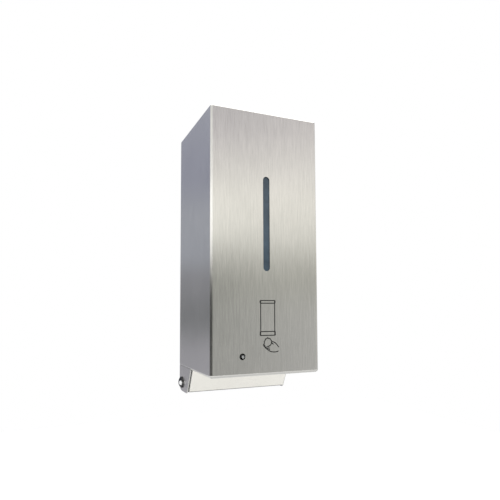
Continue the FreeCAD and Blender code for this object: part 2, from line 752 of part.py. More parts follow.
# ---- Back plate, chin and pivots
def plate_outline():
    chin_inner_bottom = CHIN_BOTTOM_H + CHIN_T
    cheek_top = CASE_BOTTOM_H - CHIN_T
    return [(0, CHIN_BOTTOM_H), (PLATE_FRONT, CHIN_BOTTOM_H), (PLATE_FRONT, chin_inner_bottom),
            (slant_y(CHIN_INNER_Y, chin_inner_bottom) + CHIN_T, chin_inner_bottom),
            (slant_y(CHIN_INNER_Y, chin_inner_bottom + CHIN_T), chin_inner_bottom + CHIN_T),
            (slant_y(CHIN_INNER_Y, cheek_top - CHIN_T), cheek_top - CHIN_T),
            (slant_y(CHIN_INNER_Y, cheek_top) + CHIN_T, cheek_top),
            (slant_y(CHIN_INNER_Y, cheek_top) + CHIN_TOP_FLANGE, cheek_top),
            (-FLANGE_DEPTH, CHEEK_SHOULDER_H), (-FLANGE_DEPTH, PLATE_TOP_H), (0, PLATE_TOP_H)]


def folded_tray():
    depth = -slant_y(CHIN_INNER_Y, CASE_BOTTOM_H) + 1
    outer = block(-PLATE_HALF_W, PLATE_HALF_W, -depth, 0, CHIN_BOTTOM_H, PLATE_TOP_H)
    outer = round_edges(outer, PLATE_BEND_R,
                        lambda middle, direction: is_along(direction, UP) and middle.y > -1)
    inner_x = PLATE_HALF_W - PLATE_T
    inner = block(-inner_x, inner_x, -depth - 1, PLATE_FRONT, CHIN_BOTTOM_H - 1, PLATE_TOP_H + 1)
    inner = round_edges(inner, PLATE_BEND_R - PLATE_T, lambda middle, direction:
                        is_along(direction, UP) and middle.y > PLATE_FRONT - 1)
    sides = side_prism(plate_outline(), -PLATE_HALF_W, PLATE_HALF_W)
    return outer.cut(inner).common(sides)


def back_plate():
    inner_x = PLATE_HALF_W - PLATE_T
    flange = block(-inner_x, inner_x, -TOP_FLANGE_DEPTH, PLATE_FRONT, PLATE_TOP_H - PLATE_T, PLATE_TOP_H)
    wall_holes = [forward(WALL_HOLE_R, x, height, 1, PLATE_FRONT - 1) for x, height in wall_hole_places()]
    pivot_hole = Part.makeCylinder(PIVOT_TAIL_R, 2 * PLATE_HALF_W + 2,
                                   Vector(-PLATE_HALF_W - 1, PIVOT_Y, PIVOT_H), ACROSS)
    return cut_all(join([folded_tray(), flange]), wall_holes + [pivot_hole])


def plate_studs():
    return group([forward(STUD_R, x, height, PLATE_FRONT, PLATE_FRONT - STUD_LENGTH)
                  for x, height in case_stud_places() + chin_stud_places() + box_stud_places()])


def lock_striker():
    """The angle under the plate's top flange whose leg the cam's finger turns behind."""
    high = PLATE_TOP_H - PLATE_T
    foot = block(-STRIKER_HALF_W, STRIKER_HALF_W, -TOP_FLANGE_DEPTH, PLATE_FRONT, high - STRIKER_T, high)
    leg = block(-STRIKER_HALF_W, STRIKER_HALF_W, -TOP_FLANGE_DEPTH, -TOP_FLANGE_DEPTH + STRIKER_T,
                CAM_TOP_H + STRIKER_GAP, high)
    return join([foot, leg])


def chin_panel():
    half_w = PLATE_HALF_W - CHIN_SIDE_GAP
    top = CASE_BOTTOM_H
    outer = side_prism([(PLATE_FRONT, top), (slant_y(CHIN_FACE_Y, top), top),
                        (slant_y(CHIN_FACE_Y, CHIN_BOTTOM_H), CHIN_BOTTOM_H),
                        (PLATE_FRONT, CHIN_BOTTOM_H)], -half_w, half_w)
    outer = round_edges(outer, CHIN_BEND_R,
                        lambda middle, direction: is_along(direction, ACROSS) and middle.y < EAR_FRONT_Y / 2)
    low, high = CHIN_BOTTOM_H + CHIN_T, top - CHIN_T
    inner = side_prism([(PLATE_FRONT - CHIN_T, high), (slant_y(CHIN_INNER_Y, high), high),
                        (slant_y(CHIN_INNER_Y, low), low), (PLATE_FRONT - CHIN_T, low)],
                       -half_w - 1, half_w + 1)
    inner = round_edges(inner, CHIN_BEND_R - CHIN_T,
                        lambda middle, direction: is_along(direction, ACROSS) and middle.y < EAR_FRONT_Y / 2)
    open_top = block(-half_w - 1, half_w + 1, slant_y(CHIN_FACE_Y, top) + CHIN_TOP_FLANGE,
                     PLATE_FRONT + 1, CHIN_BOTTOM_H + CHIN_REAR_FLANGE_H, top + 1)
    flange_half_w = PLATE_HALF_W - PLATE_T - CHIN_T
    notches = mirrored(lambda side: centred_block(
        side * (flange_half_w + half_w) / 2, PLATE_FRONT, (half_w - flange_half_w) / 2 + 0.01, 2 * CHIN_T,
        low, top + 1))
    holes = [forward(STUD_HOLE_R, x, height, PLATE_FRONT + 1, PLATE_FRONT - CHIN_T - 1)
             for x, height in chin_stud_places()]
    return cut_all(outer, [inner, open_top] + notches + holes)


def pivot_rivet(side):
    """A shoulder rivet: domed head, washer seat, shoulder in the ear, tail through the cheek."""
    seat = HALF_W + WASHER_PLAY + PIVOT_WASHER_T
    outward = Vector(side, 0, 0)

    def slice_of(radius, start, end):
        return Part.makeCylinder(radius, end - start, Vector(side * start, PIVOT_Y, PIVOT_H), outward)

    head = aim(dome(PIVOT_HEAD_R, PIVOT_HEAD_H),
               Vector(side * (seat + PIVOT_RIM_T), PIVOT_Y, PIVOT_H), outward)
    rim = slice_of(PIVOT_HEAD_R, seat, seat + PIVOT_RIM_T)
    shoulder = slice_of(PIVOT_R, PLATE_HALF_W, seat)
    tail = slice_of(PIVOT_TAIL_R, PLATE_HALF_W - PLATE_T, PLATE_HALF_W)
    tail_head = slice_of(PIVOT_TAIL_HEAD_R, PLATE_HALF_W - PLATE_T - PIVOT_TAIL_HEAD_T,
                         PLATE_HALF_W - PLATE_T)
    return join([head, rim, shoulder, tail, tail_head])


def pivot_washer(side):
    inner_face = HALF_W + WASHER_PLAY
    outward = Vector(side, 0, 0)
    place = Vector(side * inner_face, PIVOT_Y, PIVOT_H)
    disc = Part.makeCylinder(PIVOT_WASHER_R, PIVOT_WASHER_T, place, outward)
    return disc.cut(Part.makeCylinder(PIVOT_R, PIVOT_WASHER_T, place, outward))


def flange_nuts():
    seats = [(place, PLATE_FRONT - CASE_WALL) for place in case_stud_places()]
    seats += [(place, PLATE_FRONT - CHIN_T) for place in chin_stud_places()]
    seats += [(place, PLATE_FRONT - BOX_WALL) for place in box_stud_places()]
    return group([aim(flange_nut(), Vector(x, y, height), OUT) for (x, height), y in seats])


# ---- Drive case
def case_shell():
    outer = block(-CASE_HALF_W, CASE_HALF_W, CASE_FRONT, PLATE_FRONT, CASE_BOTTOM_H, CASE_TOP_H)
    outer = forward_edges(outer, CASE_EDGE_R)
    inner_x = CASE_HALF_W - CASE_WALL
    inner = block(-inner_x, inner_x, CASE_FRONT - 1, CASE_REAR_INNER, CASE_FLOOR_H, CASE_CEILING_H)
    return outer.cut(forward_edges(inner, CASE_EDGE_R - CASE_WALL))


def drive_case():
    corner_bosses = [forward(CORNER_BOSS_R, x, height, CASE_FRONT + CORNER_BOSS_L, CASE_FRONT)
                     for x, height in corner_boss_places()]
    frame_posts = [forward(FRAME_POST_R, x, height, CASE_REAR_INNER, FRAME_FACE_Y + FRAME_T)
                   for x, height in FRAME_POSTS]
    board_bosses = [forward(BOARD_BOSS_R, x, height, CASE_REAR_INNER, BOARD_BACK_Y)
                    for x, height in board_boss_places()]
    sensor_bosses = [upright(SENSOR_BOSS_R, x, y, CASE_FLOOR_H, SENSOR_BOARD_H)
                     for x, y in sensor_boss_places()]
    rod_sockets = mirrored(lambda side: upright(
        ROD_SOCKET_R, side * ROD_X, PUMP_Y, CASE_FLOOR_H, CASE_FLOOR_H + ROD_SOCKET_H))
    body = join([case_shell()] + corner_bosses + frame_posts + board_bosses + sensor_bosses + rod_sockets)
    cutters = [forward(STUD_HOLE_R, x, height, PLATE_FRONT + 1, CASE_REAR_INNER - 1)
               for x, height in case_stud_places()]
    cutters += [screw_hole(Vector(x, CASE_COVER_FACE, height), -OUT) for x, height in corner_boss_places()]
    cutters += [screw_hole(Vector(x, FRAME_FACE_Y, height), -OUT) for x, height in FRAME_POSTS]
    cutters += [screw_hole(Vector(x, BOARD_FACE_Y, height), -OUT) for x, height in board_boss_places()]
    cutters += [screw_hole(Vector(x, y, SENSOR_BOARD_H + BOARD_T), DOWN) for x, y in sensor_boss_places()]
    cutters += mirrored(lambda side: upright(ROD_R, side * ROD_X, PUMP_Y, CASE_FLOOR_H, CASE_CEILING_H))
    cutters.append(upright(DECK_HOLE_R, 0, PUMP_Y, CASE_CEILING_H - 1, CASE_TOP_H + 1))
    cutters.append(upright(NOZZLE_HOLE_R, 0, PUMP_Y, CASE_BOTTOM_H - 1, CASE_FLOOR_H + 1))
    cutters.append(centred_block(SENSOR_X, SENSOR_MID_Y, SENSOR_WINDOW_HALF_W, SENSOR_WINDOW_HALF_L,
                                 CASE_BOTTOM_H - 1, CASE_FLOOR_H + 1))
    cutters.append(centred_block(LEAD_SLOT_X, LEAD_SLOT_Y, LEAD_SLOT_HALF + 2, LEAD_SLOT_HALF,
                                 CASE_CEILING_H - 1, CASE_TOP_H + 1))
    return cut_all(body, cutters)


def front_cover():
    plate = block(-CASE_HALF_W, CASE_HALF_W, CASE_COVER_FACE, CASE_FRONT, CASE_BOTTOM_H, CASE_TOP_H)
    plate = forward_edges(plate, CASE_EDGE_R)
    plate = round_edges(plate, FRONT_COVER_EDGE_R,
                        lambda middle, direction: is_near(middle.y, CASE_COVER_FACE))
    post_reach = LED_BOARD_W / 2 - LED_POST_IN
    post_h = INDICATOR_H + LED_BOARD_H / 2 - LED_POST_IN
    led_posts = [forward(LED_POST_R, INDICATOR_X + side * post_reach, post_h,
                         CASE_FRONT + LED_BOARD_BACK, CASE_FRONT) for side in (-1, 1)]
    y_rear, y_front = CASE_FRONT + 1, CASE_COVER_FACE - 1
    cutters = [forward(SCREW_R, x, height, y_rear, y_front) for x, height in corner_boss_places()]
    cutters.append(forward(LIGHT_R + LIGHT_PLAY, LIGHT_X, LIGHT_H, y_rear, y_front))
    cutters.append(block(SWITCH_X - SWITCH_W / 2, SWITCH_X + SWITCH_W / 2, y_front, y_rear,
                         SWITCH_H - SWITCH_L / 2, SWITCH_H + SWITCH_L / 2))
    return cut_all(join([plate] + led_posts), cutters)


def case_screws():
    return group([aim(pan_screw(), Vector(x, CASE_COVER_FACE, height), OUT)
                  for x, height in corner_boss_places()])


def inner_screws():
    screws = [aim(pan_screw(), Vector(x, FRAME_FACE_Y, height), OUT) for x, height in FRAME_POSTS]
    screws += [aim(pan_screw(), Vector(x, GEAR_COVER_Y - GEAR_COVER_T, height), OUT)
               for x, height in GEAR_COVER_POSTS]
    screws += [aim(pan_screw(), Vector(x, BOARD_FACE_Y, height), OUT) for x, height in board_boss_places()]
    screws += [aim(pan_screw(), Vector(x, y, SENSOR_BOARD_H + BOARD_T), UP) for x, y in sensor_boss_places()]
    return group(screws)


# ---- Gears
def polar(radius, angle):
    return Vector(radius * math.cos(angle), radius * math.sin(angle), 0)


def involute(angle):
    return math.tan(angle) - angle


def gear(module, teeth, width, tooth_at):
    """A spur gear on the XY plane, with the middle of one tooth at the angle tooth_at."""
    pitch_r = module * teeth / 2
    tip_r = pitch_r + ADDENDUM * module
    root_r = pitch_r - DEDENDUM * module
    base_r = pitch_r * math.cos(PRESSURE_ANGLE)
    flank_start = max(base_r, root_r)
    half_pitch_tooth = math.pi / (2 * teeth) - TOOTH_THINNING / (2 * pitch_r)

    def half_tooth(radius):
        return half_pitch_tooth + involute(PRESSURE_ANGLE) - involute(math.acos(base_r / radius))

    start_half = half_tooth(flank_start)
    middle_r = (flank_start + tip_r) / 2
    edges = []
    for k in range(teeth):
        centre = tooth_at + 2 * math.pi * k / teeth
        for side in (-1, 1):
            root = polar(root_r, centre + side * start_half)
            start = polar(flank_start, centre + side * start_half)
            middle = polar(middle_r, centre + side * half_tooth(middle_r))
            tip = polar(tip_r, centre + side * half_tooth(tip_r))
            flank = Part.Arc(start, middle, tip) if side < 0 else Part.Arc(tip, middle, start)
            if side < 0 and base_r > root_r:
                edges.append(Part.LineSegment(root, start).toShape())
            edges.append(flank.toShape())
            if side < 0:
                far_tip = polar(tip_r, centre + half_tooth(tip_r))
                edges.append(Part.Arc(tip, polar(tip_r, centre), far_tip).toShape())
            elif base_r > root_r:
                edges.append(Part.LineSegment(start, root).toShape())
        gap = centre + math.pi / teeth
        next_root = polar(root_r, centre + 2 * math.pi / teeth - start_half)
        edges.append(Part.Arc(polar(root_r, centre + start_half), polar(root_r, gap), next_root).toShape())
    return Part.Face(Part.Wire(edges)).extrude(Vector(0, 0, width))


def on_axle(shape, x, y_rear, height):
    """Lay a gear that was made along +Z on an axle that points out to the front."""
    laid = shape.copy()
    laid.rotate(Vector(0, 0, 0), ACROSS, 90)
    laid.translate(Vector(x, y_rear, height))
    return laid


def drill(shape, radius, x, height):
    return shape.cut(forward(radius, x, height, 0, -COVER_D))


def motor_pinion():
    tooth_at = COUNTER_TO_MOTOR_ANGLE + math.pi + math.pi / MOTOR_TEETH
    wheel = gear(MODULE_FAST, MOTOR_TEETH, FAST_GEAR_W, tooth_at)
    return drill(on_axle(wheel, MOTOR_X, FAST_LAYER_Y, MOTOR_H), SHAFT_R, MOTOR_X, MOTOR_H)


def counter_gear():
    """The large wheel that the motor drives, and the small pinion in front of it."""
    wheel = gear(MODULE_FAST, FAST_WHEEL_TEETH, FAST_GEAR_W, COUNTER_TO_MOTOR_ANGLE)
    pinion_tooth = OUTPUT_TO_COUNTER_ANGLE + math.pi + math.pi / SLOW_PINION_TEETH
    pinion = gear(MODULE_SLOW, SLOW_PINION_TEETH, SLOW_GEAR_W, pinion_tooth)
    hub = forward(HUB_R, COUNTER_X, COUNTER_H, FAST_LAYER_Y, GEAR_COVER_Y + GEAR_END_PLAY)
    parts = [on_axle(wheel, COUNTER_X, FAST_LAYER_Y, COUNTER_H),
             on_axle(pinion, COUNTER_X, SLOW_LAYER_Y, COUNTER_H), hub]
    return drill(join(parts), AXLE_R + RUNNING_PLAY, COUNTER_X, COUNTER_H)


def output_gear():
    """The slow wheel, and the pinion that lifts the rack."""
    wheel = gear(MODULE_SLOW, SLOW_WHEEL_TEETH, SLOW_GEAR_W, OUTPUT_TO_COUNTER_ANGLE)
    pinion = gear(MODULE_SLOW, RACK_PINION_TEETH, RACK_W, math.pi)
    hub = forward(HUB_R, OUTPUT_X, OUTPUT_H, FAST_LAYER_Y, GEAR_COVER_Y + GEAR_END_PLAY)
    parts = [on_axle(wheel, OUTPUT_X, SLOW_LAYER_Y, OUTPUT_H),
             on_axle(pinion, OUTPUT_X, RACK_LAYER_Y, OUTPUT_H), hub]
    return drill(join(parts), AXLE_R + RUNNING_PLAY, OUTPUT_X, OUTPUT_H)


def axle_pins():
    y_front = GEAR_COVER_Y - GEAR_COVER_T
    return group([forward(AXLE_R, x, height, FRAME_FACE_Y + FRAME_T, y_front)
                  for x, height in ((OUTPUT_X, OUTPUT_H), (COUNTER_X, COUNTER_H))])


def gear_frame():
    """The plate that holds the motor and both axle pins, with posts for the gear cover."""
    plate = block(GEAR_FRAME_LEFT_X, CASE_HALF_W - CASE_WALL - GEAR_FRAME_SIDE_GAP,
                  FRAME_FACE_Y, FRAME_FACE_Y + FRAME_T,
                  CASE_FLOOR_H + GEAR_FRAME_FOOT_GAP, CASE_CEILING_H - GEAR_FRAME_TOP_GAP)
    posts = [forward(GEAR_POST_R, x, height, FRAME_FACE_Y, GEAR_COVER_Y) for x, height in GEAR_COVER_POSTS]
    body = join([forward_edges(plate, PLATE_CORNER_R)] + posts)
    cutters = [forward(SCREW_R, x, height, 0, FRAME_FACE_Y - 1) for x, height in FRAME_POSTS]
    cutters += [screw_hole(Vector(x, GEAR_COVER_Y - GEAR_COVER_T, height), -OUT)
                for x, height in GEAR_COVER_POSTS]
    cutters += [forward(AXLE_R, x, height, 0, FRAME_FACE_Y - 1)
                for x, height in ((OUTPUT_X, OUTPUT_H), (COUNTER_X, COUNTER_H))]
    cutters.append(forward(MOTOR_NECK_R, MOTOR_X, MOTOR_H, 0, FRAME_FACE_Y - 1))
    return cut_all(body, cutters)


def gear_cover():
    y_front = GEAR_COVER_Y - GEAR_COVER_T
    plate = block(GEAR_COVER_LEFT_X, CASE_HALF_W - CASE_WALL - GEAR_FRAME_SIDE_GAP, y_front, GEAR_COVER_Y,
                  GEAR_COVER_BOTTOM_H, CASE_CEILING_H - GEAR_COVER_TOP_GAP)
    plate = forward_edges(plate, PLATE_CORNER_R)
    cutters = [forward(SCREW_R, x, height, 0, -COVER_D) for x, height in GEAR_COVER_POSTS]
    cutters += [forward(AXLE_R, x, height, 0, -COVER_D)
                for x, height in ((OUTPUT_X, OUTPUT_H), (COUNTER_X, COUNTER_H))]
    return cut_all(plate, cutters)


# ---- Motor
def motor():
    y_front = FRAME_FACE_Y + FRAME_T
    can = forward(MOTOR_R, MOTOR_X, MOTOR_H, y_front + MOTOR_L, y_front)
    can = can.makeFillet(MOTOR_EDGE_R, [can.Edges[0], can.Edges[2]])
    flat_at = MOTOR_R - MOTOR_FLAT_DEPTH
    flats = [block(MOTOR_X - MOTOR_R, MOTOR_X + MOTOR_R, y_front, y_front + MOTOR_L,
                   MOTOR_H + low, MOTOR_H + high)
             for low, high in ((-2 * MOTOR_R, -flat_at), (flat_at, 2 * MOTOR_R))]
    neck = forward(MOTOR_NECK_R, MOTOR_X, MOTOR_H, y_front, y_front - MOTOR_NECK_L)
    bore = forward(SHAFT_R + RUNNING_PLAY, MOTOR_X, MOTOR_H, y_front + SHAFT_INSIDE + SHAFT_END_PLAY,
                   y_front - MOTOR_NECK_L - 1)
    return cut_all(can, flats).fuse(neck).cut(bore)


def motor_shaft():
    return forward(SHAFT_R, MOTOR_X, MOTOR_H, FRAME_FACE_Y + FRAME_T + SHAFT_INSIDE,
                   FAST_LAYER_Y - FAST_GEAR_W - SHAFT_BEYOND)


# ---- Pump, fixed pieces
def pump_barrel():
    body = upright(BARREL_R, 0, PUMP_Y, BARREL_BOTTOM_H, BARREL_TOP_H)
    flange = upright(BARREL_FLANGE_R, 0, PUMP_Y, BARREL_TOP_H, BARREL_TOP_FACE_H)
    bore = upright(BARREL_BORE_R, 0, PUMP_Y, BARREL_BOTTOM_H + BARREL_END_T, BARREL_TOP_H)
    stem_hole = upright(STEM_R + RUNNING_PLAY, 0, PUMP_Y, BARREL_BOTTOM_H - 1, BARREL_TOP_H - 1)
    inlet = upright(INLET_R, 0, PUMP_Y, BARREL_TOP_H - 1, BARREL_TOP_FACE_H + 1)
    return cut_all(body.fuse(flange), [bore, stem_hole, inlet])


def inlet_ball():
    seat_rise = math.sqrt(BALL_R ** 2 - INLET_R ** 2)
    return Part.makeSphere(BALL_R, Vector(0, PUMP_Y, BARREL_TOP_FACE_H + seat_rise))


def neck_gasket():
    return tube(BARREL_FLANGE_R, NECK_BORE_R, 0, PUMP_Y, BARREL_TOP_FACE_H, NECK_BOTTOM_H)


def pump_collar():
    """The grooved ring that screws up the tank's neck and holds the pump barrel to it."""
    low = BARREL_TOP_H - COLLAR_LIP_T
    high = BARREL_TOP_FACE_H + COLLAR_RISE
    ring = upright(COLLAR_R, 0, PUMP_Y, low, high)
    ring = ring.makeFillet(COLLAR_EDGE_R, [ring.Edges[0], ring.Edges[2]])
    bore = upright(COLLAR_BORE_R, 0, PUMP_Y, BARREL_TOP_H, high + 1)
    mouth = upright(BARREL_R + COLLAR_PLAY, 0, PUMP_Y, low - 1, BARREL_TOP_H + 1)
    grooves = []
    for k in range(COLLAR_GROOVES):
        place = polar(COLLAR_R + COLLAR_GROOVE_OUT, 2 * math.pi * k / COLLAR_GROOVES)
        grooves.append(upright(COLLAR_GROOVE_R, place.x, PUMP_Y + place.y,
                               low + COLLAR_GROOVE_END, high - COLLAR_GROOVE_END))
    return cut_all(ring, [bore, mouth, group(grooves)])


def guide_rods():
    return group(mirrored(lambda side: upright(ROD_R, side * ROD_X, PUMP_Y, CASE_FLOOR_H, CASE_CEILING_H)))


# ---- Pump, pieces that rise with the stroke
def piston_stem():
    head_top = PISTON_BOTTOM_H + PISTON_T
    stem = upright(STEM_R, 0, PUMP_Y, STEM_BOTTOM_H, head_top)
    flange = upright(STEM_FLANGE_R, 0, PUMP_Y, YOKE_BOTTOM_H + YOKE_T, YOKE_BOTTOM_H + YOKE_T + STEM_FLANGE_T)
    head = upright(PISTON_R, 0, PUMP_Y, PISTON_BOTTOM_H, head_top)
    seal_low = PISTON_BOTTOM_H + (PISTON_T - SEAL_T) / 2
    groove = tube(PISTON_R + 1, PISTON_R - SEAL_GROOVE_DEPTH, 0, PUMP_Y, seal_low, seal_low + SEAL_T)
    bore = upright(STEM_BORE_R, 0, PUMP_Y, STEM_BOTTOM_H - 1, head_top + 1)
    return cut_all(join([stem, flange, head]), [groove, bore])


def piston_seal():
    seal_low = PISTON_BOTTOM_H + (PISTON_T - SEAL_T) / 2
    return tube(BARREL_BORE_R - RUNNING_PLAY, PISTON_R - SEAL_GROOVE_DEPTH, 0, PUMP_Y,
                seal_low, seal_low + SEAL_T)


def nozzle_tip():
    body = Part.makeCone(NOZZLE_TIP_R, NOZZLE_TOP_R, NOZZLE_TOP_H - NOZZLE_BOTTOM_H,
                         Vector(0, PUMP_Y, NOZZLE_BOTTOM_H), UP)
    socket = upright(STEM_R, 0, PUMP_Y, STEM_BOTTOM_H - MESH_T, NOZZLE_TOP_H + 1)
    mouth = upright(NOZZLE_MOUTH_R, 0, PUMP_Y, NOZZLE_BOTTOM_H - 1, STEM_BOTTOM_H)
    return cut_all(body, [socket, mouth])


def foam_mesh():
    """A stiff grid disc held between the stem and the nozzle tip, which turns soap to foam."""
    disc = upright(STEM_R, 0, PUMP_Y, STEM_BOTTOM_H - MESH_T, STEM_BOTTOM_H)
    cells = []
    for row in range(-2, 3):
        for column in range(-2, 3):
            if math.hypot(row, column) < MESH_REACH:
                cells.append(centred_block(MESH_PITCH * column, PUMP_Y + MESH_PITCH * row,
                                           MESH_HOLE_HALF, MESH_HOLE_HALF,
                                           STEM_BOTTOM_H - MESH_T - 1, STEM_BOTTOM_H + 1))
    return disc.cut(group(cells))


def rack():
    pitch = math.pi * MODULE_SLOW
    root_x = RACK_PITCH_X - DEDENDUM * MODULE_SLOW
    tip_x = RACK_PITCH_X + ADDENDUM * MODULE_SLOW
    half_at_pitch = pitch / 4 - TOOTH_THINNING / 2
    lean = math.tan(PRESSURE_ANGLE)
    root_half = half_at_pitch + (RACK_PITCH_X - root_x) * lean
    tip_half = half_at_pitch - (tip_x - RACK_PITCH_X) * lean
    first = OUTPUT_H - (RACK_TEETH - 1) / 2 * pitch
    y_front = RACK_LAYER_Y - RACK_W
    teeth = []
    for k in range(RACK_TEETH):
        middle = first + k * pitch
        corners = [Vector(root_x - RACK_TOOTH_INSIDE, y_front, middle - root_half),
                   Vector(root_x, y_front, middle - root_half),
                   Vector(tip_x, y_front, middle - tip_half),
                   Vector(tip_x, y_front, middle + tip_half),
                   Vector(root_x, y_front, middle + root_half),
                   Vector(root_x - RACK_TOOTH_INSIDE, y_front, middle + root_half)]
        teeth.append(Part.Face(Part.makePolygon(corners + corners[:1])).extrude(Vector(0, RACK_W, 0)))
    top = first + (RACK_TEETH - 0.5) * pitch
    bar = block(root_x - RACK_BACK_T, root_x, y_front, RACK_LAYER_Y, YOKE_BOTTOM_H, top)
    return [bar] + teeth


def yoke():
    """The carriage that slides on the guide rods and lifts the stem: ring, arms, bushes and rack."""
    top = YOKE_BOTTOM_H + YOKE_T
    ring = upright(STEM_FLANGE_R + YOKE_RING_W, 0, PUMP_Y, YOKE_BOTTOM_H, top)
    arms = block(-ROD_X, ROD_X, PUMP_Y - YOKE_ARM_W / 2, PUMP_Y + YOKE_ARM_W / 2, YOKE_BOTTOM_H, top)
    bushes = mirrored(lambda side: upright(BUSH_R, side * ROD_X, PUMP_Y, YOKE_BOTTOM_H, top + BUSH_RISE))
    rack_root = RACK_PITCH_X - DEDENDUM * MODULE_SLOW
    rack_arm = block(rack_root - 2 * RACK_BACK_T, rack_root, PUMP_Y, RACK_LAYER_Y, YOKE_BOTTOM_H, top)
    body = join([ring, arms, rack_arm] + bushes + rack())
    cutters = [upright(STEM_R + YOKE_STEM_PLAY, 0, PUMP_Y, YOKE_BOTTOM_H - 1, top + 1)]
    cutters += mirrored(lambda side: upright(ROD_R + RUNNING_PLAY, side * ROD_X, PUMP_Y,
                                             YOKE_BOTTOM_H - 1, top + BUSH_RISE + 1))
    return cut_all(body, cutters)


def coil(coil_r, wire_r, turns, x, y, z0, z1):
    """A round wire coil whose ends lie within z0 and z1."""
    height = z1 - z0 - 2 * wire_r
    path = Part.makeHelix(height / turns, height, coil_r)
    section = Part.Wire(Part.makeCircle(wire_r, Vector(coil_r, 0, 0), Vector(0, 1, 0)))
    wire = path.makePipeShell([section], True, False)
    wire.translate(Vector(x, y, z0 + wire_r))
    return wire


def return_spring():
    return coil(SPRING_R, SPRING_WIRE_R, SPRING_TURNS, 0, PUMP_Y,
                YOKE_BOTTOM_H + YOKE_T + STEM_FLANGE_T, BARREL_BOTTOM_H)


# ---- Soap tank and its cap
def tank():
    outer = block(-TANK_HALF_W, TANK_HALF_W, TANK_FRONT, TANK_REAR, CASE_TOP_H, TANK_TOP_H)
    outer = upright_edges(outer, TANK_EDGE_R)
    outer = round_edges(outer, TANK_TOP_EDGE_R, lambda middle, direction: is_near(middle.z, TANK_TOP_H))
    inner = block(-TANK_HALF_W + TANK_WALL, TANK_HALF_W - TANK_WALL, TANK_FRONT + TANK_WALL,
                  TANK_REAR - TANK_WALL, CASE_TOP_H + TANK_WALL, TANK_TOP_H - TANK_WALL)
    inner = upright_edges(inner, TANK_EDGE_R - TANK_WALL)
    outlet = upright(BARREL_FLANGE_R, 0, PUMP_Y, NECK_BOTTOM_H, CASE_TOP_H + TANK_WALL)
    fill_neck = upright(FILL_NECK_R, FILL_X, FILL_Y, TANK_TOP_H - TANK_WALL, TANK_TOP_H + FILL_NECK_H)
    lug_low = TANK_TOP_H + LUG_UP
    lugs = [sector(LUG_R, FILL_NECK_R - 1, lug_low, lug_low + LUG_T, LUG_ANGLE, start)
            for start in (0.0, 180.0)]
    outlet_bore = upright(NECK_BORE_R, 0, PUMP_Y, NECK_BOTTOM_H - 1, CASE_TOP_H + TANK_WALL + 1)
    fill_bore = upright(FILL_BORE_R, FILL_X, FILL_Y, TANK_TOP_H - TANK_WALL - 1, TANK_TOP_H + FILL_NECK_H + 1)
    return cut_all(join([outer, outlet, fill_neck] + lugs), [inner, outlet_bore, fill_bore])


def sector(outer_r, inner_r, z0, z1, angle, start):
    """A piece of a ring round the fill neck, centred on the direction start, in degrees."""
    wedge = Part.makeCylinder(outer_r, z1 - z0, Vector(0, 0, z0), UP, angle)
    wedge = wedge.cut(Part.makeCylinder(inner_r, z1 - z0, Vector(0, 0, z0), UP))
    wedge.rotate(Vector(0, 0, 0), UP, start - angle / 2)
    wedge.translate(Vector(FILL_X, FILL_Y, 0))
    return wedge


def fill_cap():
    """A quarter turn cap: its lip passes under the neck's lugs, and its slots stand a quarter turn off."""
    low = TANK_TOP_H + CAP_PLAY
    ceiling = TANK_TOP_H + FILL_NECK_H + CAP_SEAL_T + CAP_PLAY
    lip_top = low + CAP_LIP_T
    body = upright(CAP_R, FILL_X, FILL_Y, low, ceiling + CAP_TOP_T)
    body = body.makeFillet(CAP_EDGE_R, [body.Edges[0]])
    grip = centred_block(FILL_X, FILL_Y, CAP_R - CAP_GRIP_IN, CAP_GRIP_W / 2,
                         ceiling + CAP_TOP_T, ceiling + CAP_TOP_T + CAP_GRIP_H)
    grip = upright_edges(grip, CAP_GRIP_R)
    slots = [sector(LUG_R + CAP_PLAY, FILL_NECK_R - 1, low - 1, lip_top + 1, CAP_SLOT_ANGLE, start)
             for start in (90, 90 + 180)]
    ribs = []
    for k in range(CAP_RIBS):
        place = polar(CAP_R + CAP_RIB_OUT, 2 * math.pi * k / CAP_RIBS)
        ribs.append(upright(CAP_RIB_R, FILL_X + place.x, FILL_Y + place.y,
                            low - 1, ceiling + CAP_TOP_T - CAP_RIB_END))
    bore = upright(FILL_NECK_R + CAP_PLAY, FILL_X, FILL_Y, low - 1, ceiling)
    groove = upright(LUG_R + CAP_PLAY, FILL_X, FILL_Y, lip_top, ceiling)
    return cut_all(body.fuse(grip), [bore, groove, group(ribs)] + slots)


def cap_seal():
    ceiling = TANK_TOP_H + FILL_NECK_H + CAP_SEAL_T + CAP_PLAY
    return tube(FILL_NECK_R, FILL_BORE_R, FILL_X, FILL_Y, ceiling - CAP_SEAL_T, ceiling)


# ---- Battery box
def battery_box():
    high = BOX_CEILING_H + BOX_WALL
    outer = block(-BOX_HALF_W, BOX_HALF_W, BOX_FRONT, PLATE_FRONT, BOX_BOTTOM_H, high)
    outer = forward_edges(outer, BOX_EDGE_R)
    inner_x = BOX_HALF_W - BOX_WALL
    inner = block(-inner_x, inner_x, BOX_FRONT - 1, BOX_REAR_INNER, BOX_FLOOR_H, BOX_CEILING_H)
    rib = block(-CELL_GAP / 2, CELL_GAP / 2, BOX_FRONT + CELL_RIB_IN, BOX_REAR_INNER,
                BOX_FLOOR_H, BOX_CEILING_H)
    middle = box_stud_places()[0][1]
    tabs = block(-BOX_HALF_W - TAB_W, BOX_HALF_W + TAB_W, BOX_REAR_INNER, PLATE_FRONT,
                 middle - TAB_H / 2, middle + TAB_H / 2)
    body = join([outer, forward_edges(tabs, BOX_EDGE_R)]).cut(inner)
    holes = [forward(STUD_HOLE_R, x, height, 0, BOX_REAR_INNER - 1) for x, height in box_stud_places()]
    return cut_all(join([body, rib]), holes)


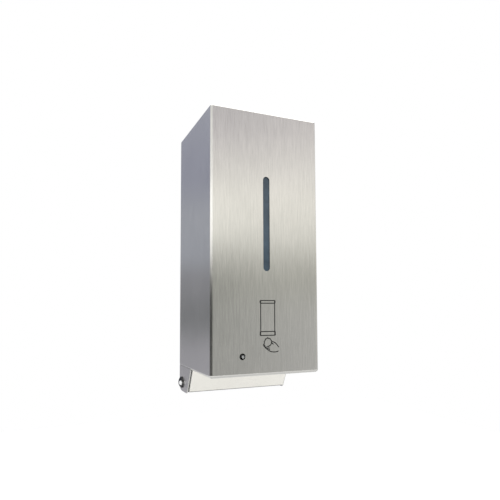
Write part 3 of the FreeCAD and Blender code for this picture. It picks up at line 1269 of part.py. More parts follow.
def battery_door():
    high = BOX_CEILING_H + BOX_WALL
    plate = block(-BOX_HALF_W, BOX_HALF_W, DOOR_FACE, BOX_FRONT, BOX_BOTTOM_H, high)
    plate = forward_edges(plate, BOX_EDGE_R)
    hook_x = (BOX_HALF_W - BOX_WALL) / 2
    hooks = mirrored(lambda side: block(side * hook_x - HOOK_HALF_W, side * hook_x + HOOK_HALF_W, BOX_FRONT,
                                        BOX_FRONT + HOOK_L, BOX_CEILING_H - HOOK_T, BOX_CEILING_H))
    groove_feet = [high - DOOR_GROOVE_DROP - DOOR_GROOVE_PITCH * k for k in range(DOOR_GROOVES)]
    grooves = [block(-DOOR_GROOVE_HALF_W, DOOR_GROOVE_HALF_W, DOOR_FACE - 1, DOOR_FACE + DOOR_GROOVE_DEPTH,
                     foot, foot + DOOR_GROOVE_H) for foot in groove_feet]
    return cut_all(join([plate] + hooks), grooves)


def column_base(side):
    """The height where the lower cell of a column starts: the coil is below it, or above its pair."""
    return BOX_FLOOR_H + CONTACT_T + (CELL_SPRING_H if side < 0 else CONTACT_DEPTH - CONTACT_T)


def battery_cells():
    cells = []
    for side in (-1, 1):
        for k in range(CELLS_PER_COLUMN):
            low = column_base(side) + k * CELL_L
            body = upright(CELL_R, side * CELL_X, CELL_Y, 0, CELL_L - NUB_H)
            body = body.makeFillet(CELL_EDGE_R, [body.Edges[0], body.Edges[2]])
            cell = body.fuse(upright(NUB_R, side * CELL_X, CELL_Y, CELL_L - NUB_H, CELL_L))
            if side > 0:
                cell.rotate(Vector(side * CELL_X, CELL_Y, CELL_L / 2), ACROSS, 180)
            cell.translate(Vector(0, 0, low))
            cells.append(cell)
    return group(cells)


def battery_springs():
    left_low = BOX_FLOOR_H + CONTACT_T
    right_low = column_base(1) + COLUMN_L
    return group([coil(CELL_SPRING_R, CELL_SPRING_WIRE_R, CELL_SPRING_TURNS, side * CELL_X, CELL_Y,
                       low, low + CELL_SPRING_H)
                  for side, low in ((-1, left_low), (1, right_low))])


def battery_contacts():
    """Flat plates behind the coils, and folded leaves that press on the cells' nubs."""
    def plate(side, low):
        return centred_block(side * CELL_X, CELL_Y, CONTACT_HALF, CONTACT_HALF, low, low + CONTACT_T)

    def leaf(side, low, high):
        whole = centred_block(side * CELL_X, CELL_Y, CONTACT_HALF, CONTACT_HALF, low, high)
        hollow = centred_block(side * CELL_X, CELL_Y, CONTACT_HALF - CONTACT_T, CONTACT_HALF + 1,
                               low + CONTACT_T, high - CONTACT_T)
        return whole.cut(hollow)

    left_top = column_base(-1) + COLUMN_L
    return group([plate(-1, BOX_FLOOR_H), leaf(-1, left_top, BOX_CEILING_H),
                  leaf(1, BOX_FLOOR_H, column_base(1)), plate(1, BOX_CEILING_H - CONTACT_T)])


# ---- Leads, which lie between fixed ends
def bent_wire(points, bend_r):
    """A round lead along straight runs that tangent arcs join."""
    nodes = [Vector(*point) for point in points]
    edges = []
    start = nodes[0]
    for before, corner, after in zip(nodes, nodes[1:], nodes[2:]):
        arriving = (corner - before).normalize()
        leaving = (after - corner).normalize()
        half_turn = math.acos(max(-1.0, min(1.0, arriving.dot(leaving)))) / 2
        cut_back = bend_r * math.tan(half_turn)
        entry, leave = corner - arriving * cut_back, corner + leaving * cut_back
        inward = (leaving - arriving).normalize()
        middle = corner + inward * (bend_r / math.cos(half_turn) - bend_r)
        edges.append(Part.LineSegment(start, entry).toShape())
        edges.append(Part.Arc(entry, middle, leave).toShape())
        start = leave
    edges.append(Part.LineSegment(start, nodes[-1]).toShape())
    section = Part.Wire(Part.makeCircle(WIRE_R, nodes[0], nodes[1] - nodes[0]))
    return Part.Wire(edges).makePipeShell([section], True, False)


def battery_leads():
    """Two leads from the battery box, down through the deck's slot, to the plug on the board."""
    plug_y = BOARD_FACE_Y - POWER_PLUG[1] / 2
    leads = []
    for side in (-1, 1):
        x = LEAD_SLOT_X + side * BATTERY_LEAD_PITCH / 2
        upper_x = x + side * BATTERY_LEAD_SPREAD
        leads.append(bent_wire([(upper_x, LEAD_SLOT_Y, BOX_BOTTOM_H), (upper_x, LEAD_SLOT_Y, CASE_TOP_H),
                                (x, plug_y, BOARD_TOP_H + BATTERY_LEAD_RISE), (x, plug_y, BOARD_TOP_H)],
                               BATTERY_LEAD_BEND_R))
    return group(leads)


def motor_leads():
    """Two leads from the tags on the motor's end, over to the plug at the board's edge."""
    motor_end = FRAME_FACE_Y + FRAME_T + MOTOR_L
    plug_y = BOARD_FACE_Y - MOTOR_PLUG[1] / 2
    leads = []
    bend_y = motor_end + MOTOR_LEAD_BEYOND
    tag_x = MOTOR_X - MOTOR_TAG_X
    for side in (-1, 1):
        tag_h = MOTOR_H + side * MOTOR_LEAD_PITCH / 2
        height = MOTOR_PLUG_TOP_H - MOTOR_PLUG[2] / 2 + side * MOTOR_PLUG_PITCH / 2
        leads.append(bent_wire([(tag_x, motor_end, tag_h), (tag_x, bend_y, tag_h),
                                (MOTOR_X - MOTOR_LEAD_TURN_X, bend_y, height),
                                (BOARD_RIGHT_X + MOTOR_LEAD_RUN_OUT, plug_y, height),
                                (BOARD_RIGHT_X - MOTOR_PLUG_EDGE_GAP, plug_y, height)], MOTOR_LEAD_BEND_R))
    return group(leads)


# ---- Circuit boards
def control_board():
    board = block(BOARD_LEFT_X, BOARD_RIGHT_X, BOARD_FACE_Y, BOARD_BACK_Y, BOARD_BOTTOM_H, BOARD_TOP_H)
    holes = [forward(SCREW_R, x, height, BOARD_BACK_Y + 1, BOARD_FACE_Y - 1)
             for x, height in board_boss_places()]
    return cut_all(board, holes)


def plug_body(size, right_x, top_h):
    width, depth, tall = size
    return block(right_x - width, right_x, BOARD_FACE_Y - depth, BOARD_FACE_Y, top_h - tall, top_h)


def board_components():
    capacitors = [forward(CAPACITOR_R, x, CAPACITOR_H, BOARD_FACE_Y, BOARD_FACE_Y - CAPACITOR_L)
                  for x in CAPACITOR_PLACES]
    chips = [block(x - half_x, x + half_x, BOARD_FACE_Y - depth, BOARD_FACE_Y,
                   height - half_h, height + half_h) for x, height, half_x, half_h, depth in CHIPS]
    plugs = [plug_body(POWER_PLUG, LEAD_SLOT_X + POWER_PLUG[0] / 2, BOARD_TOP_H),
             plug_body(MOTOR_PLUG, BOARD_RIGHT_X - MOTOR_PLUG_EDGE_GAP, MOTOR_PLUG_TOP_H)]
    return group(capacitors + chips + plugs)


def sensor_board():
    board = centred_block(SENSOR_X, SENSOR_MID_Y, SENSOR_HALF_W, SENSOR_HALF_L,
                          SENSOR_BOARD_H, SENSOR_BOARD_H + BOARD_T)
    holes = [upright(SCREW_R, x, y, SENSOR_BOARD_H - 1, SENSOR_BOARD_H + BOARD_T + 1)
             for x, y in sensor_boss_places()]
    return cut_all(board, holes)


def infrared_eye(y):
    body = upright(EYE_R, SENSOR_X, y, SENSOR_BOARD_H - EYE_L + EYE_R, SENSOR_BOARD_H)
    tip = Part.makeSphere(EYE_R, Vector(SENSOR_X, y, SENSOR_BOARD_H - EYE_L + EYE_R))
    rim = upright(EYE_R + EYE_RIM_W, SENSOR_X, y, SENSOR_BOARD_H - EYE_RIM_T, SENSOR_BOARD_H)
    return join([body, tip, rim])


def sensor_window():
    pane = centred_block(SENSOR_X, SENSOR_MID_Y, SENSOR_WINDOW_HALF_W - PANE_PLAY,
                         SENSOR_WINDOW_HALF_L - PANE_PLAY,
                         CASE_BOTTOM_H, CASE_FLOOR_H)
    rim = centred_block(SENSOR_X, SENSOR_MID_Y, SENSOR_WINDOW_HALF_W + SENSOR_WINDOW_RIM,
                        SENSOR_WINDOW_HALF_L + SENSOR_WINDOW_RIM, CASE_FLOOR_H,
                        CASE_FLOOR_H + SENSOR_WINDOW_RIM_T)
    return pane.fuse(rim)


def led_board():
    y_front = CASE_FRONT + LED_BOARD_BACK
    return block(INDICATOR_X - LED_BOARD_W / 2, INDICATOR_X + LED_BOARD_W / 2, y_front, y_front + BOARD_T,
                 INDICATOR_H - LED_BOARD_H / 2, INDICATOR_H + LED_BOARD_H / 2)


def status_led():
    y_rear = CASE_FRONT + LED_BOARD_BACK
    y_front = CASE_FRONT + LIGHT_TAIL
    return forward(LED_R, LIGHT_X, LIGHT_H, y_rear, y_front)


def light_pipe():
    """The clear plug behind the cover's small hole. Its collar rests on the case cover's rear."""
    tip_y = CASE_COVER_FACE - LIGHT_PROUD
    rod = forward(LIGHT_R, LIGHT_X, LIGHT_H, CASE_FRONT + LIGHT_TAIL, tip_y)
    collar = forward(LIGHT_COLLAR_R, LIGHT_X, LIGHT_H, CASE_FRONT + LIGHT_COLLAR_T, CASE_FRONT)
    tip = aim(dome(LIGHT_R, LIGHT_DOME_H), Vector(LIGHT_X, tip_y, LIGHT_H), OUT)
    return join([rod, collar, tip])


# ---- Power switch
def switch_body():
    y_front = CASE_COVER_FACE - SWITCH_RIM_T
    half_w, half_l = SWITCH_W / 2 - SWITCH_PLAY, SWITCH_L / 2 - SWITCH_PLAY
    can = block(SWITCH_X - half_w, SWITCH_X + half_w, CASE_COVER_FACE, CASE_COVER_FACE + SWITCH_DEPTH,
                SWITCH_H - half_l, SWITCH_H + half_l)
    rim = block(SWITCH_X - half_w - SWITCH_RIM, SWITCH_X + half_w + SWITCH_RIM, y_front, CASE_COVER_FACE,
                SWITCH_H - half_l - SWITCH_RIM, SWITCH_H + half_l + SWITCH_RIM)
    pocket_half = ROCKER_W / 2 + ROCKER_PLAY
    pocket = Part.makeCylinder(ROCKER_R + ROCKER_PLAY, 2 * pocket_half,
                               Vector(SWITCH_X - pocket_half, ROCKER_Y, SWITCH_H), ACROSS)
    return join([can, forward_edges(rim, SWITCH_EDGE_R)]).cut(pocket)


def switch_rocker():
    """A half round rocker with two finger faces, resting with its upper end pressed in."""
    left = SWITCH_X - ROCKER_W / 2
    round_part = Part.makeCylinder(ROCKER_R, ROCKER_W, Vector(left, ROCKER_Y, SWITCH_H), ACROSS)
    rise = ROCKER_R * math.tan(math.radians(ROCKER_THROW / 2))
    low, high = SWITCH_H - ROCKER_R, SWITCH_H + ROCKER_R
    faces = side_prism([(ROCKER_Y - rise, low), (ROCKER_Y, SWITCH_H), (ROCKER_Y - rise, high),
                        (ROCKER_Y - 2 * ROCKER_R, high), (ROCKER_Y - 2 * ROCKER_R, low)],
                       left - 1, left + ROCKER_W + 1)
    rocker = round_part.cut(faces)
    rocker.rotate(Vector(left, ROCKER_Y, SWITCH_H), ACROSS, -ROCKER_THROW / 2)
    return rocker


PIECES = {
    "cover_shell": cover_shell,
    "window_studs": window_studs,
    "window_strip": window_strip,
    "window_clips": window_clips,
    "lock_barrel": lock_barrel,
    "lock_nut": lock_nut,
    "lock_plug": lock_plug,
    "lock_cam": lock_cam,
    "cam_screw": cam_screw,
    "back_plate": back_plate,
    "plate_studs": plate_studs,
    "lock_striker": lock_striker,
    "chin_panel": chin_panel,
    "pivot_rivets": lambda: group(mirrored(pivot_rivet)),
    "pivot_washers": lambda: group(mirrored(pivot_washer)),
    "flange_nuts": flange_nuts,
    "drive_case": drive_case,
    "case_front": front_cover,
    "case_screws": case_screws,
    "inner_screws": inner_screws,
    "motor": motor,
    "motor_shaft": motor_shaft,
    "motor_pinion": motor_pinion,
    "counter_gear": counter_gear,
    "output_gear": output_gear,
    "axle_pins": axle_pins,
    "gear_frame": gear_frame,
    "gear_cover": gear_cover,
    "pump_barrel": pump_barrel,
    "inlet_ball": inlet_ball,
    "neck_gasket": neck_gasket,
    "pump_collar": pump_collar,
    "guide_rods": guide_rods,
    "piston_stem": piston_stem,
    "piston_seal": piston_seal,
    "nozzle_tip": nozzle_tip,
    "foam_mesh": foam_mesh,
    "pump_yoke": yoke,
    "return_spring": return_spring,
    "soap_tank": tank,
    "fill_cap": fill_cap,
    "cap_seal": cap_seal,
    "battery_box": battery_box,
    "battery_door": battery_door,
    "battery_cells": battery_cells,
    "battery_springs": battery_springs,
    "battery_contacts": battery_contacts,
    "battery_leads": battery_leads,
    "motor_leads": motor_leads,
    "control_board": control_board,
    "board_components": board_components,
    "sensor_board": sensor_board,
    "infrared_emitter": lambda: infrared_eye(SENSOR_MID_Y - SENSOR_SPACING / 2),
    "infrared_receiver": lambda: infrared_eye(SENSOR_MID_Y + SENSOR_SPACING / 2),
    "sensor_window": sensor_window,
    "led_board": led_board,
    "status_led": status_led,
    "light_pipe": light_pipe,
    "switch_body": switch_body,
    "switch_rocker": switch_rocker,
}

os.makedirs("parts", exist_ok=True)
for node_name, make in PIECES.items():
    save(node_name, make())
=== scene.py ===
import json
import math

import bpy
from bpy.props import FloatProperty, FloatVectorProperty, IntProperty, PointerProperty
from mathutils import Matrix, Vector


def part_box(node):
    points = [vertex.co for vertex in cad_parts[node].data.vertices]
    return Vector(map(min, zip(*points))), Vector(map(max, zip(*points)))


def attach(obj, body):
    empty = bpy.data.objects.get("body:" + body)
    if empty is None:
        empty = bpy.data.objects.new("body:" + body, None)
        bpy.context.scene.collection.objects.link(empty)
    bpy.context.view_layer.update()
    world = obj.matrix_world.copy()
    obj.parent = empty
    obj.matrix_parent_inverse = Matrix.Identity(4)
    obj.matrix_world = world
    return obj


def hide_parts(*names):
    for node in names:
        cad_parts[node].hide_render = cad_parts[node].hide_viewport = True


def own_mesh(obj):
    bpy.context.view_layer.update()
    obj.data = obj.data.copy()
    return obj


bl_info = {
    "name": "Soap dispenser looks",
    "version": (1, 0, 0),
    "blender": (4, 5, 0),
    "location": "3D View > Sidebar > Dispenser",
    "description": "Finishes and small pieces for a wall mounted steel soap dispenser",
    "category": "Object",
}

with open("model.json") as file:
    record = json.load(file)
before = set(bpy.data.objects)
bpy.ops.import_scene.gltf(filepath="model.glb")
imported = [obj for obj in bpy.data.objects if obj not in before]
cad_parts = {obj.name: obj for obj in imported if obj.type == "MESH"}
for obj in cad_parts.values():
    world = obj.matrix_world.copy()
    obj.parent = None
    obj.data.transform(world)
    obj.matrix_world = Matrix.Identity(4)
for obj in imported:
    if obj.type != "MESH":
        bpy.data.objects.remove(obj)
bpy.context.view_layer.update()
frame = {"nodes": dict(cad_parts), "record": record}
NODES = frame["nodes"]
MM = 0.001


# ---- Sizes and colours that a user may change
def length(label, text, default):
    return FloatProperty(name=label, description=text, default=default, min=0.0, unit="LENGTH",
                         precision=5)


def share(label, text, default):
    return FloatProperty(name=label, description=text, default=default, min=0.0, max=1.0,
                         subtype="FACTOR")


def colour(label, text, default):
    return FloatVectorProperty(name=label, description=text, default=default, size=3, min=0.0, max=1.0,
                               subtype="COLOR")


class SteelSettings(bpy.types.PropertyGroup):
    cover_light: colour("Cover, light", "Brushed cover where the lines catch the light",
                        (0.665, 0.652, 0.617))
    cover_dark: colour("Cover, dark", "Brushed cover between the lines", (0.555, 0.546, 0.516))
    chin_light: colour("Chin, light", "Bright chin panel", (0.71, 0.695, 0.640))
    chin_dark: colour("Chin, dark", "Bright chin panel between the lines", (0.62, 0.605, 0.555))
    plate_light: colour("Back plate, light", "Mill finish of the back plate", (0.62, 0.62, 0.60))
    plate_dark: colour("Back plate, dark", "Darker clouds of the mill finish", (0.50, 0.50, 0.49))
    cover_roughness: share("Cover roughness", "How dull the brushed cover is", 0.22)
    line_width: length("Brush line", "Width of one brush line", 0.00045)
    line_ratio: FloatProperty(name="Line length", description="Length of a brush line in line widths",
                              default=24.0, min=1.0)


class PlasticSettings(bpy.types.PropertyGroup):
    case_colour: colour("Case", "Moulded case of the drive", (0.035, 0.037, 0.04))
    part_colour: colour("Inner parts", "Grey moulded frames and carriage", (0.30, 0.31, 0.32))
    pump_colour: colour("Pump", "White moulded pump", (0.80, 0.80, 0.77))
    gear_colour: colour("Gears", "Natural coloured gears", (0.82, 0.78, 0.66))
    tank_colour: colour("Tank", "Natural coloured blown tank", (0.80, 0.84, 0.84))
    cap_colour: colour("Cap", "Fill cap", (0.02, 0.11, 0.30))
    window_colour: colour("Window", "Tinted level window", (0.058, 0.098, 0.138))
    texture_pitch: length("Texture pitch", "Distance between the pits of the moulded texture", 0.0007)


class PictureSettings(bpy.types.PropertyGroup):
    line: length("Line", "Width of a drawn line", 0.00098)
    proud: length("Thickness", "How far the ink stands proud of the sheet", 0.00003)
    ink: colour("Ink", "Dark ink of the picture", (0.010, 0.011, 0.010))
    middle_x: FloatProperty(name="Middle", description="Sideways place of the picture", default=0.0008,
                            unit="LENGTH")
    frame_low: length("Frame foot", "Height of the frame's foot over the cover's lower edge", 0.0383)
    frame_high: length("Frame head", "Height of the frame's head over the cover's lower edge", 0.0719)
    frame_width: length("Frame width", "Width of the frame", 0.0150)
    head_band: length("Head band", "Height of the band at the frame's head", 0.0026)
    foot_band: length("Foot band", "Height of the band at the frame's foot", 0.0037)
    band_over: length("Band overhang", "How far the bands reach past the frame's sides", 0.0005)
    case_lift: length("Case lift", "Height of the case's floor over the cover's lower edge", 0.0025)


class SpringSettings(bpy.types.PropertyGroup):
    turns: FloatProperty(name="Turns", description="Turns of the return spring", default=6.0, min=1.0)
    wire: length("Wire", "Radius of the return spring's wire", 0.0006)
    closed: share("Closed turns", "Part of a turn that lies flat at each end", 0.7)
    cell_turns: FloatProperty(name="Cell turns", description="Turns of a cell's coil", default=4.0,
                              min=1.0)
    cell_wire: length("Cell wire", "Radius of the wire of a cell's coil", 0.00035)
    cell_taper: share("Cell taper", "Small end of a cell's coil as a share of its large end", 0.55)


class FastenerSettings(bpy.types.PropertyGroup):
    facets: IntProperty(name="Facets", description="Sides of a round fastener", default=40, min=8,
                        max=96)
    screw_head: length("Screw head", "Radius of a screw's head", 0.0028)
    screw_height: length("Head height", "Height of a screw's head", 0.0019)
    head_bulge: share("Head bulge", "Rise of a screw's head as a share of its height", 0.42)
    socket_flats: length("Socket", "Width over the flats of a screw's socket", 0.0022)
    shank: length("Shank", "Radius of a screw's shank", 0.0015)
    shank_length: length("Shank length", "Length of a screw's shank", 0.0080)
    thread_depth: length("Thread depth", "Depth of the thread on a screw's shank", 0.00014)
    thread_pitch: length("Thread pitch", "Distance between two rings of the thread", 0.0005)
    nut_flats: length("Nut", "Width over the flats of a nut", 0.0070)
    nut_height: length("Nut height", "Height of a nut", 0.0030)
    nut_bore: length("Nut bore", "Radius of a nut's bore", 0.0020)
    nut_flange: length("Flange", "Radius of a nut's flange", 0.0044)
    flange_height: length("Flange height", "Height of a nut's flange", 0.0008)
    nut_chamfer: length("Nut chamfer", "Corner taken off a nut", 0.0005)
    dome_rise: length("Dome", "Rise of a pivot rivet's dome", 0.0022)
    dome_rim: length("Rim", "Height of a pivot rivet's rim", 0.0006)
    shoulder: length("Shoulder", "Radius of a pivot rivet's shoulder", 0.0030)
    tail: length("Tail", "Radius of a pivot rivet's tail", 0.0020)
    tail_length: length("Tail length", "Length of a pivot rivet's tail", 0.0015)
    tail_head: length("Tail head", "Radius of the head closed on the tail", 0.0040)
    tail_head_height: length("Tail head height", "Height of the head closed on the tail", 0.0015)


class StageSettings(bpy.types.PropertyGroup):
    floor_drop: length("Floor drop", "Distance of the floor under the wall mount's middle", 0.42)
    floor_half: length("Floor", "Half the floor's width", 0.85)
    lamp_height: length("Lamp height", "Height of the floor's lamp", 1.3)
    lamp_forward: length("Lamp reach", "How far the lamp hangs before the wall", 0.2)
    lamp_width: length("Lamp width", "Width of the square lamp", 2.0)
    lamp_power: FloatProperty(name="Lamp power", description="Power of the floor's lamp", default=30.0,
                              min=0.0, unit="POWER")
    glow: FloatProperty(name="Glow", description="Strength of the soft light all round", default=1.25,
                        min=0.0)
    lens: FloatProperty(name="Lens", description="Focal length", default=33.09,
                        subtype="DISTANCE_CAMERA")
    azimuth: FloatProperty(name="Azimuth", description="Camera's turn round the object",
                           default=math.radians(-23.08), subtype="ANGLE")
    elevation: FloatProperty(name="Elevation", description="Camera's angle above the horizon",
                             default=math.radians(-3.72), subtype="ANGLE")
    roll: FloatProperty(name="Roll", description="Camera's tilt", default=math.radians(-0.19),
                        subtype="ANGLE")
    place: FloatVectorProperty(name="Camera", description="Camera's place", size=3,
                               subtype="TRANSLATION", default=(-0.19067, -0.51362, -0.10007))
    shift: FloatVectorProperty(name="Shift", description="Camera's shift, across and up", size=2,
                               default=(0.00184, 0.0558))


# ---- Shader helpers
def node(tree, kind, inputs=None, **settings):
    """Add a node, set its properties, and set or link its inputs."""
    made = tree.nodes.new(kind)
    for key, value in settings.items():
        setattr(made, key, value)
    for key, value in (inputs or {}).items():
        if isinstance(value, bpy.types.NodeSocket):
            tree.links.new(value, made.inputs[key])
        else:
            made.inputs[key].default_value = value
    return made


def take(tree, kind, inputs=None, **settings):
    """Add a node and give its first output."""
    return node(tree, kind, inputs, **settings).outputs[0]


def split(tree, vector):
    """The three parts of a vector."""
    return node(tree, "ShaderNodeSeparateXYZ", {0: vector}).outputs


def maths(tree, operation, first, second=0.0, clamp=False):
    return take(tree, "ShaderNodeMath", {0: first, 1: second}, operation=operation, use_clamp=clamp)


def plus(tree, first, second, clamp=False):
    return maths(tree, "ADD", first, second, clamp)


def minus(tree, first, second):
    return maths(tree, "SUBTRACT", first, second)


def times(tree, first, second):
    return maths(tree, "MULTIPLY", first, second)


def over(tree, first, second):
    return maths(tree, "DIVIDE", first, second)


def spread(tree, value, low, high, start, end, smooth=False):
    """Turn low..high into start..end."""
    kind = "SMOOTHSTEP" if smooth else "LINEAR"
    return take(tree, "ShaderNodeMapRange", {"Value": value, "From Min": low, "From Max": high,
                                             "To Min": start, "To Max": end},
                interpolation_type=kind)


def squares(tree, first, second):
    """The sum of two squares."""
    return plus(tree, times(tree, first, first), times(tree, second, second))


def over_noise(tree, value, start, end):
    """Turn the range that most of a noise falls in into start..end."""
    return spread(tree, value, 0.3, 0.7, start, end)


def blend(tree, factor, first, second):
    """Mix two colours."""
    def filled(value):
        return value if isinstance(value, bpy.types.NodeSocket) else (*value[:3], 1.0)
    return node(tree, "ShaderNodeMix", {0: factor, 6: filled(first), 7: filled(second)},
                data_type="RGBA").outputs[2]


def noise(tree, where, scale, detail=2.0, rough=0.5, distortion=0.0):
    return take(tree, "ShaderNodeTexNoise", {"Vector": where, "Scale": scale, "Detail": detail,
                                             "Roughness": rough, "Distortion": distortion})


def object_place(tree):
    return node(tree, "ShaderNodeTexCoord").outputs["Object"]


def stretched(tree, where, scale):
    return take(tree, "ShaderNodeVectorMath", {0: where, 1: scale}, operation="MULTIPLY")


def bump(tree, height, depth):
    return take(tree, "ShaderNodeBump", {"Height": height, "Distance": depth})


def new_finish(name, **constants):
    """A material with one principled shader. Constants go on the shader's own sockets."""
    material = bpy.data.materials.new(name)
    material.use_nodes = True
    tree = material.node_tree
    tree.nodes.clear()
    shader = node(tree, "ShaderNodeBsdfPrincipled")
    for key, value in constants.items():
        shader.inputs[key.replace("_", " ")].default_value = value
    output = node(tree, "ShaderNodeOutputMaterial")
    tree.links.new(shader.outputs[0], output.inputs[0])
    return material, tree, shader


def feed(tree, shader, **sources):
    for key, source in sources.items():
        tree.links.new(source, shader.inputs[key.replace("_", " ")])


def along_lines(tree, width, ratio):
    """Places squeezed along the brush lines: upright on walls, front to back on level faces."""
    place = object_place(tree)
    across, along = 1 / width, 1 / (width * ratio)
    wall = stretched(tree, place, (across, across, along))
    level = stretched(tree, place, (across, along, across))
    facing = split(tree, node(tree, "ShaderNodeNewGeometry").outputs["Normal"])
    is_level = maths(tree, "GREATER_THAN", maths(tree, "ABSOLUTE", facing[2]), 0.75)
    lines = node(tree, "ShaderNodeMix", {0: is_level, 4: wall, 5: level}, data_type="VECTOR").outputs[1]
    return place, lines, facing


# ---- Finishes
def brushed(name, light, dark, roughness, width, ratio, flow=0.6, depth=1.2e-6, cloud=0.25,
            underside_shade=None, tilt=0.6, side_edge_shade=None):
    """Metal with brush lines, longer streaks and soft clouds of handling. Faces that look down by more
    than tilt get a painted shade tone, and the sheet's sideways edges get a second painted shade tone."""
    material, tree, shader = new_finish(name, Metallic=1.0, Anisotropic=flow)
    place, lines, facing = along_lines(tree, width, ratio)
    fine = noise(tree, lines, 1.0, 3.0, 0.75)
    wide = noise(tree, stretched(tree, lines, (0.6, 0.6, 0.45)), 1.0, 2.0, 0.7)
    clouds = noise(tree, place, 14.0, 3.0, 0.55)
    streak = plus(tree, times(tree, fine, 0.6), times(tree, wide, 0.4))
    tone = spread(tree, streak, 0.36, 0.64, 0.0, 1.0)
    tone = plus(tree, tone, over_noise(tree, clouds, -cloud, cloud), clamp=True)
    colour_here = blend(tree, tone, dark, light)
    if underside_shade is not None:
        # Painted shade: faces that look down take the given darker tone.
        under = maths(tree, "LESS_THAN", facing[2], -tilt)
        colour_here = blend(tree, under, colour_here, underside_shade)
    if side_edge_shade is not None:
        # Painted shade: the sheet's sideways edges take the given dark tone.
        shaded_edge_mask = maths(tree, "GREATER_THAN", maths(tree, "ABSOLUTE", facing[0]), 0.72)
        colour_here = blend(tree, shaded_edge_mask, colour_here, side_edge_shade)
    feed(tree, shader, Base_Color=colour_here,
         Roughness=over_noise(tree, streak, roughness - 0.03, roughness + 0.03),
         Normal=bump(tree, streak, depth),
         Tangent=take(tree, "ShaderNodeTangent", direction_type="RADIAL", axis="Z"))
    return material


def machined(name, light, dark, roughness, grain=2600.0, depth=1.5e-6, wear=0.12):
    """Turned, plated or polished metal with fine marks and a little tarnish."""
    material, tree, shader = new_finish(name, Metallic=1.0)
    place = object_place(tree)
    marks = noise(tree, stretched(tree, place, (1.0, 1.0, 0.3)), grain, 3.0, 0.65)
    tarnish = noise(tree, place, 130.0, 4.0, 0.6, 0.4)
    tone = plus(tree, times(tree, marks, 0.4), times(tree, tarnish, 0.6))
    feed(tree, shader, Base_Color=blend(tree, spread(tree, tone, 0.35, 0.62, 0.0, 1.0), dark, light),
         Roughness=over_noise(tree, tone, roughness + wear, roughness),
         Normal=bump(tree, marks, depth))
    return material


def rivet_painted_light(name, bright, painted_dark_rim, forward=0.62, rim_start=0.30, rim_full=0.50):
    """A dome with a painted highlight forward of the axis and a painted dark rim of shade and dark
    reflection all round, which sets in between two given reaches; all are shares of the radius."""
    material, tree, shader = new_finish(name, Metallic=1.0)
    place = object_place(tree)
    low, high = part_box("pivot_rivets")
    middle = (low + high) / 2
    parts = split(tree, place)
    radius = (high.z - low.z) / 2
    aside = minus(tree, parts[1], middle.y - forward * radius)
    above = minus(tree, parts[2], middle.z)
    out = maths(tree, "SQRT", squares(tree, aside, above))
    speckle = noise(tree, place, 900.0, 3.0, 0.6)
    reach = plus(tree, over(tree, out, radius), over_noise(tree, speckle, -0.06, 0.06))
    # Painted dark rim round a painted highlight that sits forward of the axis.
    painted_rim_share = spread(tree, reach, rim_start, rim_full, 0.0, 1.0, True)
    feed(tree, shader, Base_Color=blend(tree, painted_rim_share, bright, painted_dark_rim),
         Roughness=spread(tree, painted_rim_share, 0.0, 1.0, 0.66, 0.38), Normal=bump(tree, speckle, 3e-7))
    return material


def moulded(name, tint, roughness, pitch, depth=1.2e-5, mottle=0.12, wear=0.25, **constants):
    """Moulded plastic or rubber with a spark textured skin, mottling and light scuffs."""
    material, tree, shader = new_finish(name, **constants)
    place = object_place(tree)
    skin = noise(tree, place, 1 / pitch, 2.0, 0.6)
    mottling = noise(tree, place, 45.0, 3.0, 0.6)
    scuffs = noise(tree, stretched(tree, place, (1.0, 0.35, 0.8)), 420.0, 5.0, 0.75, 0.8)
    dark = [part * (1 - mottle) for part in tint]
    light = [min(1.0, part * (1 + mottle) + 0.01) for part in tint]
    worn = [min(1.0, part * (1 + wear) + 0.03) for part in tint]
    ground = blend(tree, over_noise(tree, mottling, 0.0, 1.0), dark, light)
    feed(tree, shader,
         Base_Color=blend(tree, spread(tree, scuffs, 0.62, 0.78, 0.0, 0.5), ground, worn),
         Roughness=spread(tree, scuffs, 0.35, 0.75, roughness + 0.06, roughness - 0.06),
         Normal=bump(tree, skin, depth))
    return material


def clear_moulded(name, tint, deep, roughness, passes, ripple=2.0e-5):
    """Translucent plastic whose wall thickness ripples a little."""
    material, tree, shader = new_finish(name, IOR=1.5, Transmission_Weight=passes)
    place = object_place(tree)
    swirl = noise(tree, place, 55.0, 3.0, 0.55, 1.2)
    fine = noise(tree, place, 900.0, 2.0, 0.6)
    feed(tree, shader, Base_Color=blend(tree, over_noise(tree, swirl, 0.0, 1.0), deep, tint),
         Roughness=over_noise(tree, fine, max(0.02, roughness - 0.05), roughness + 0.06),
         Normal=bump(tree, swirl, ripple))
    return material


def circuit_board(name, mask, trace, pad):
    """Solder mask over square cornered tracks, with tinned pads."""
    material, tree, shader = new_finish(name, Specular_IOR_Level=0.5)
    place = object_place(tree)
    cells = node(tree, "ShaderNodeTexVoronoi", {"Vector": place, "Scale": 330.0, "Randomness": 0.75},
                 feature="F1", distance="CHEBYCHEV")
    tracks = node(tree, "ShaderNodeTexBrick",
                  {"Vector": place, "Scale": 240.0, "Mortar Size": 0.10, "Mortar Smooth": 0.1})
    is_track = spread(tree, tracks.outputs["Fac"], 0.3, 0.6, 0.0, 1.0)
    is_pad = maths(tree, "LESS_THAN", cells.outputs["Distance"], 0.16)
    weave = noise(tree, place, 2500.0, 2.0, 0.6)
    ground = blend(tree, is_track, blend(tree, weave, mask, [part * 1.25 for part in mask]), trace)
    feed(tree, shader, Base_Color=blend(tree, is_pad, ground, pad),
         Metallic=times(tree, is_pad, 0.9),
         Roughness=over_noise(tree, weave, 0.25, 0.4),
         Normal=bump(tree, plus(tree, is_track, is_pad), 2.0e-5))
    return material


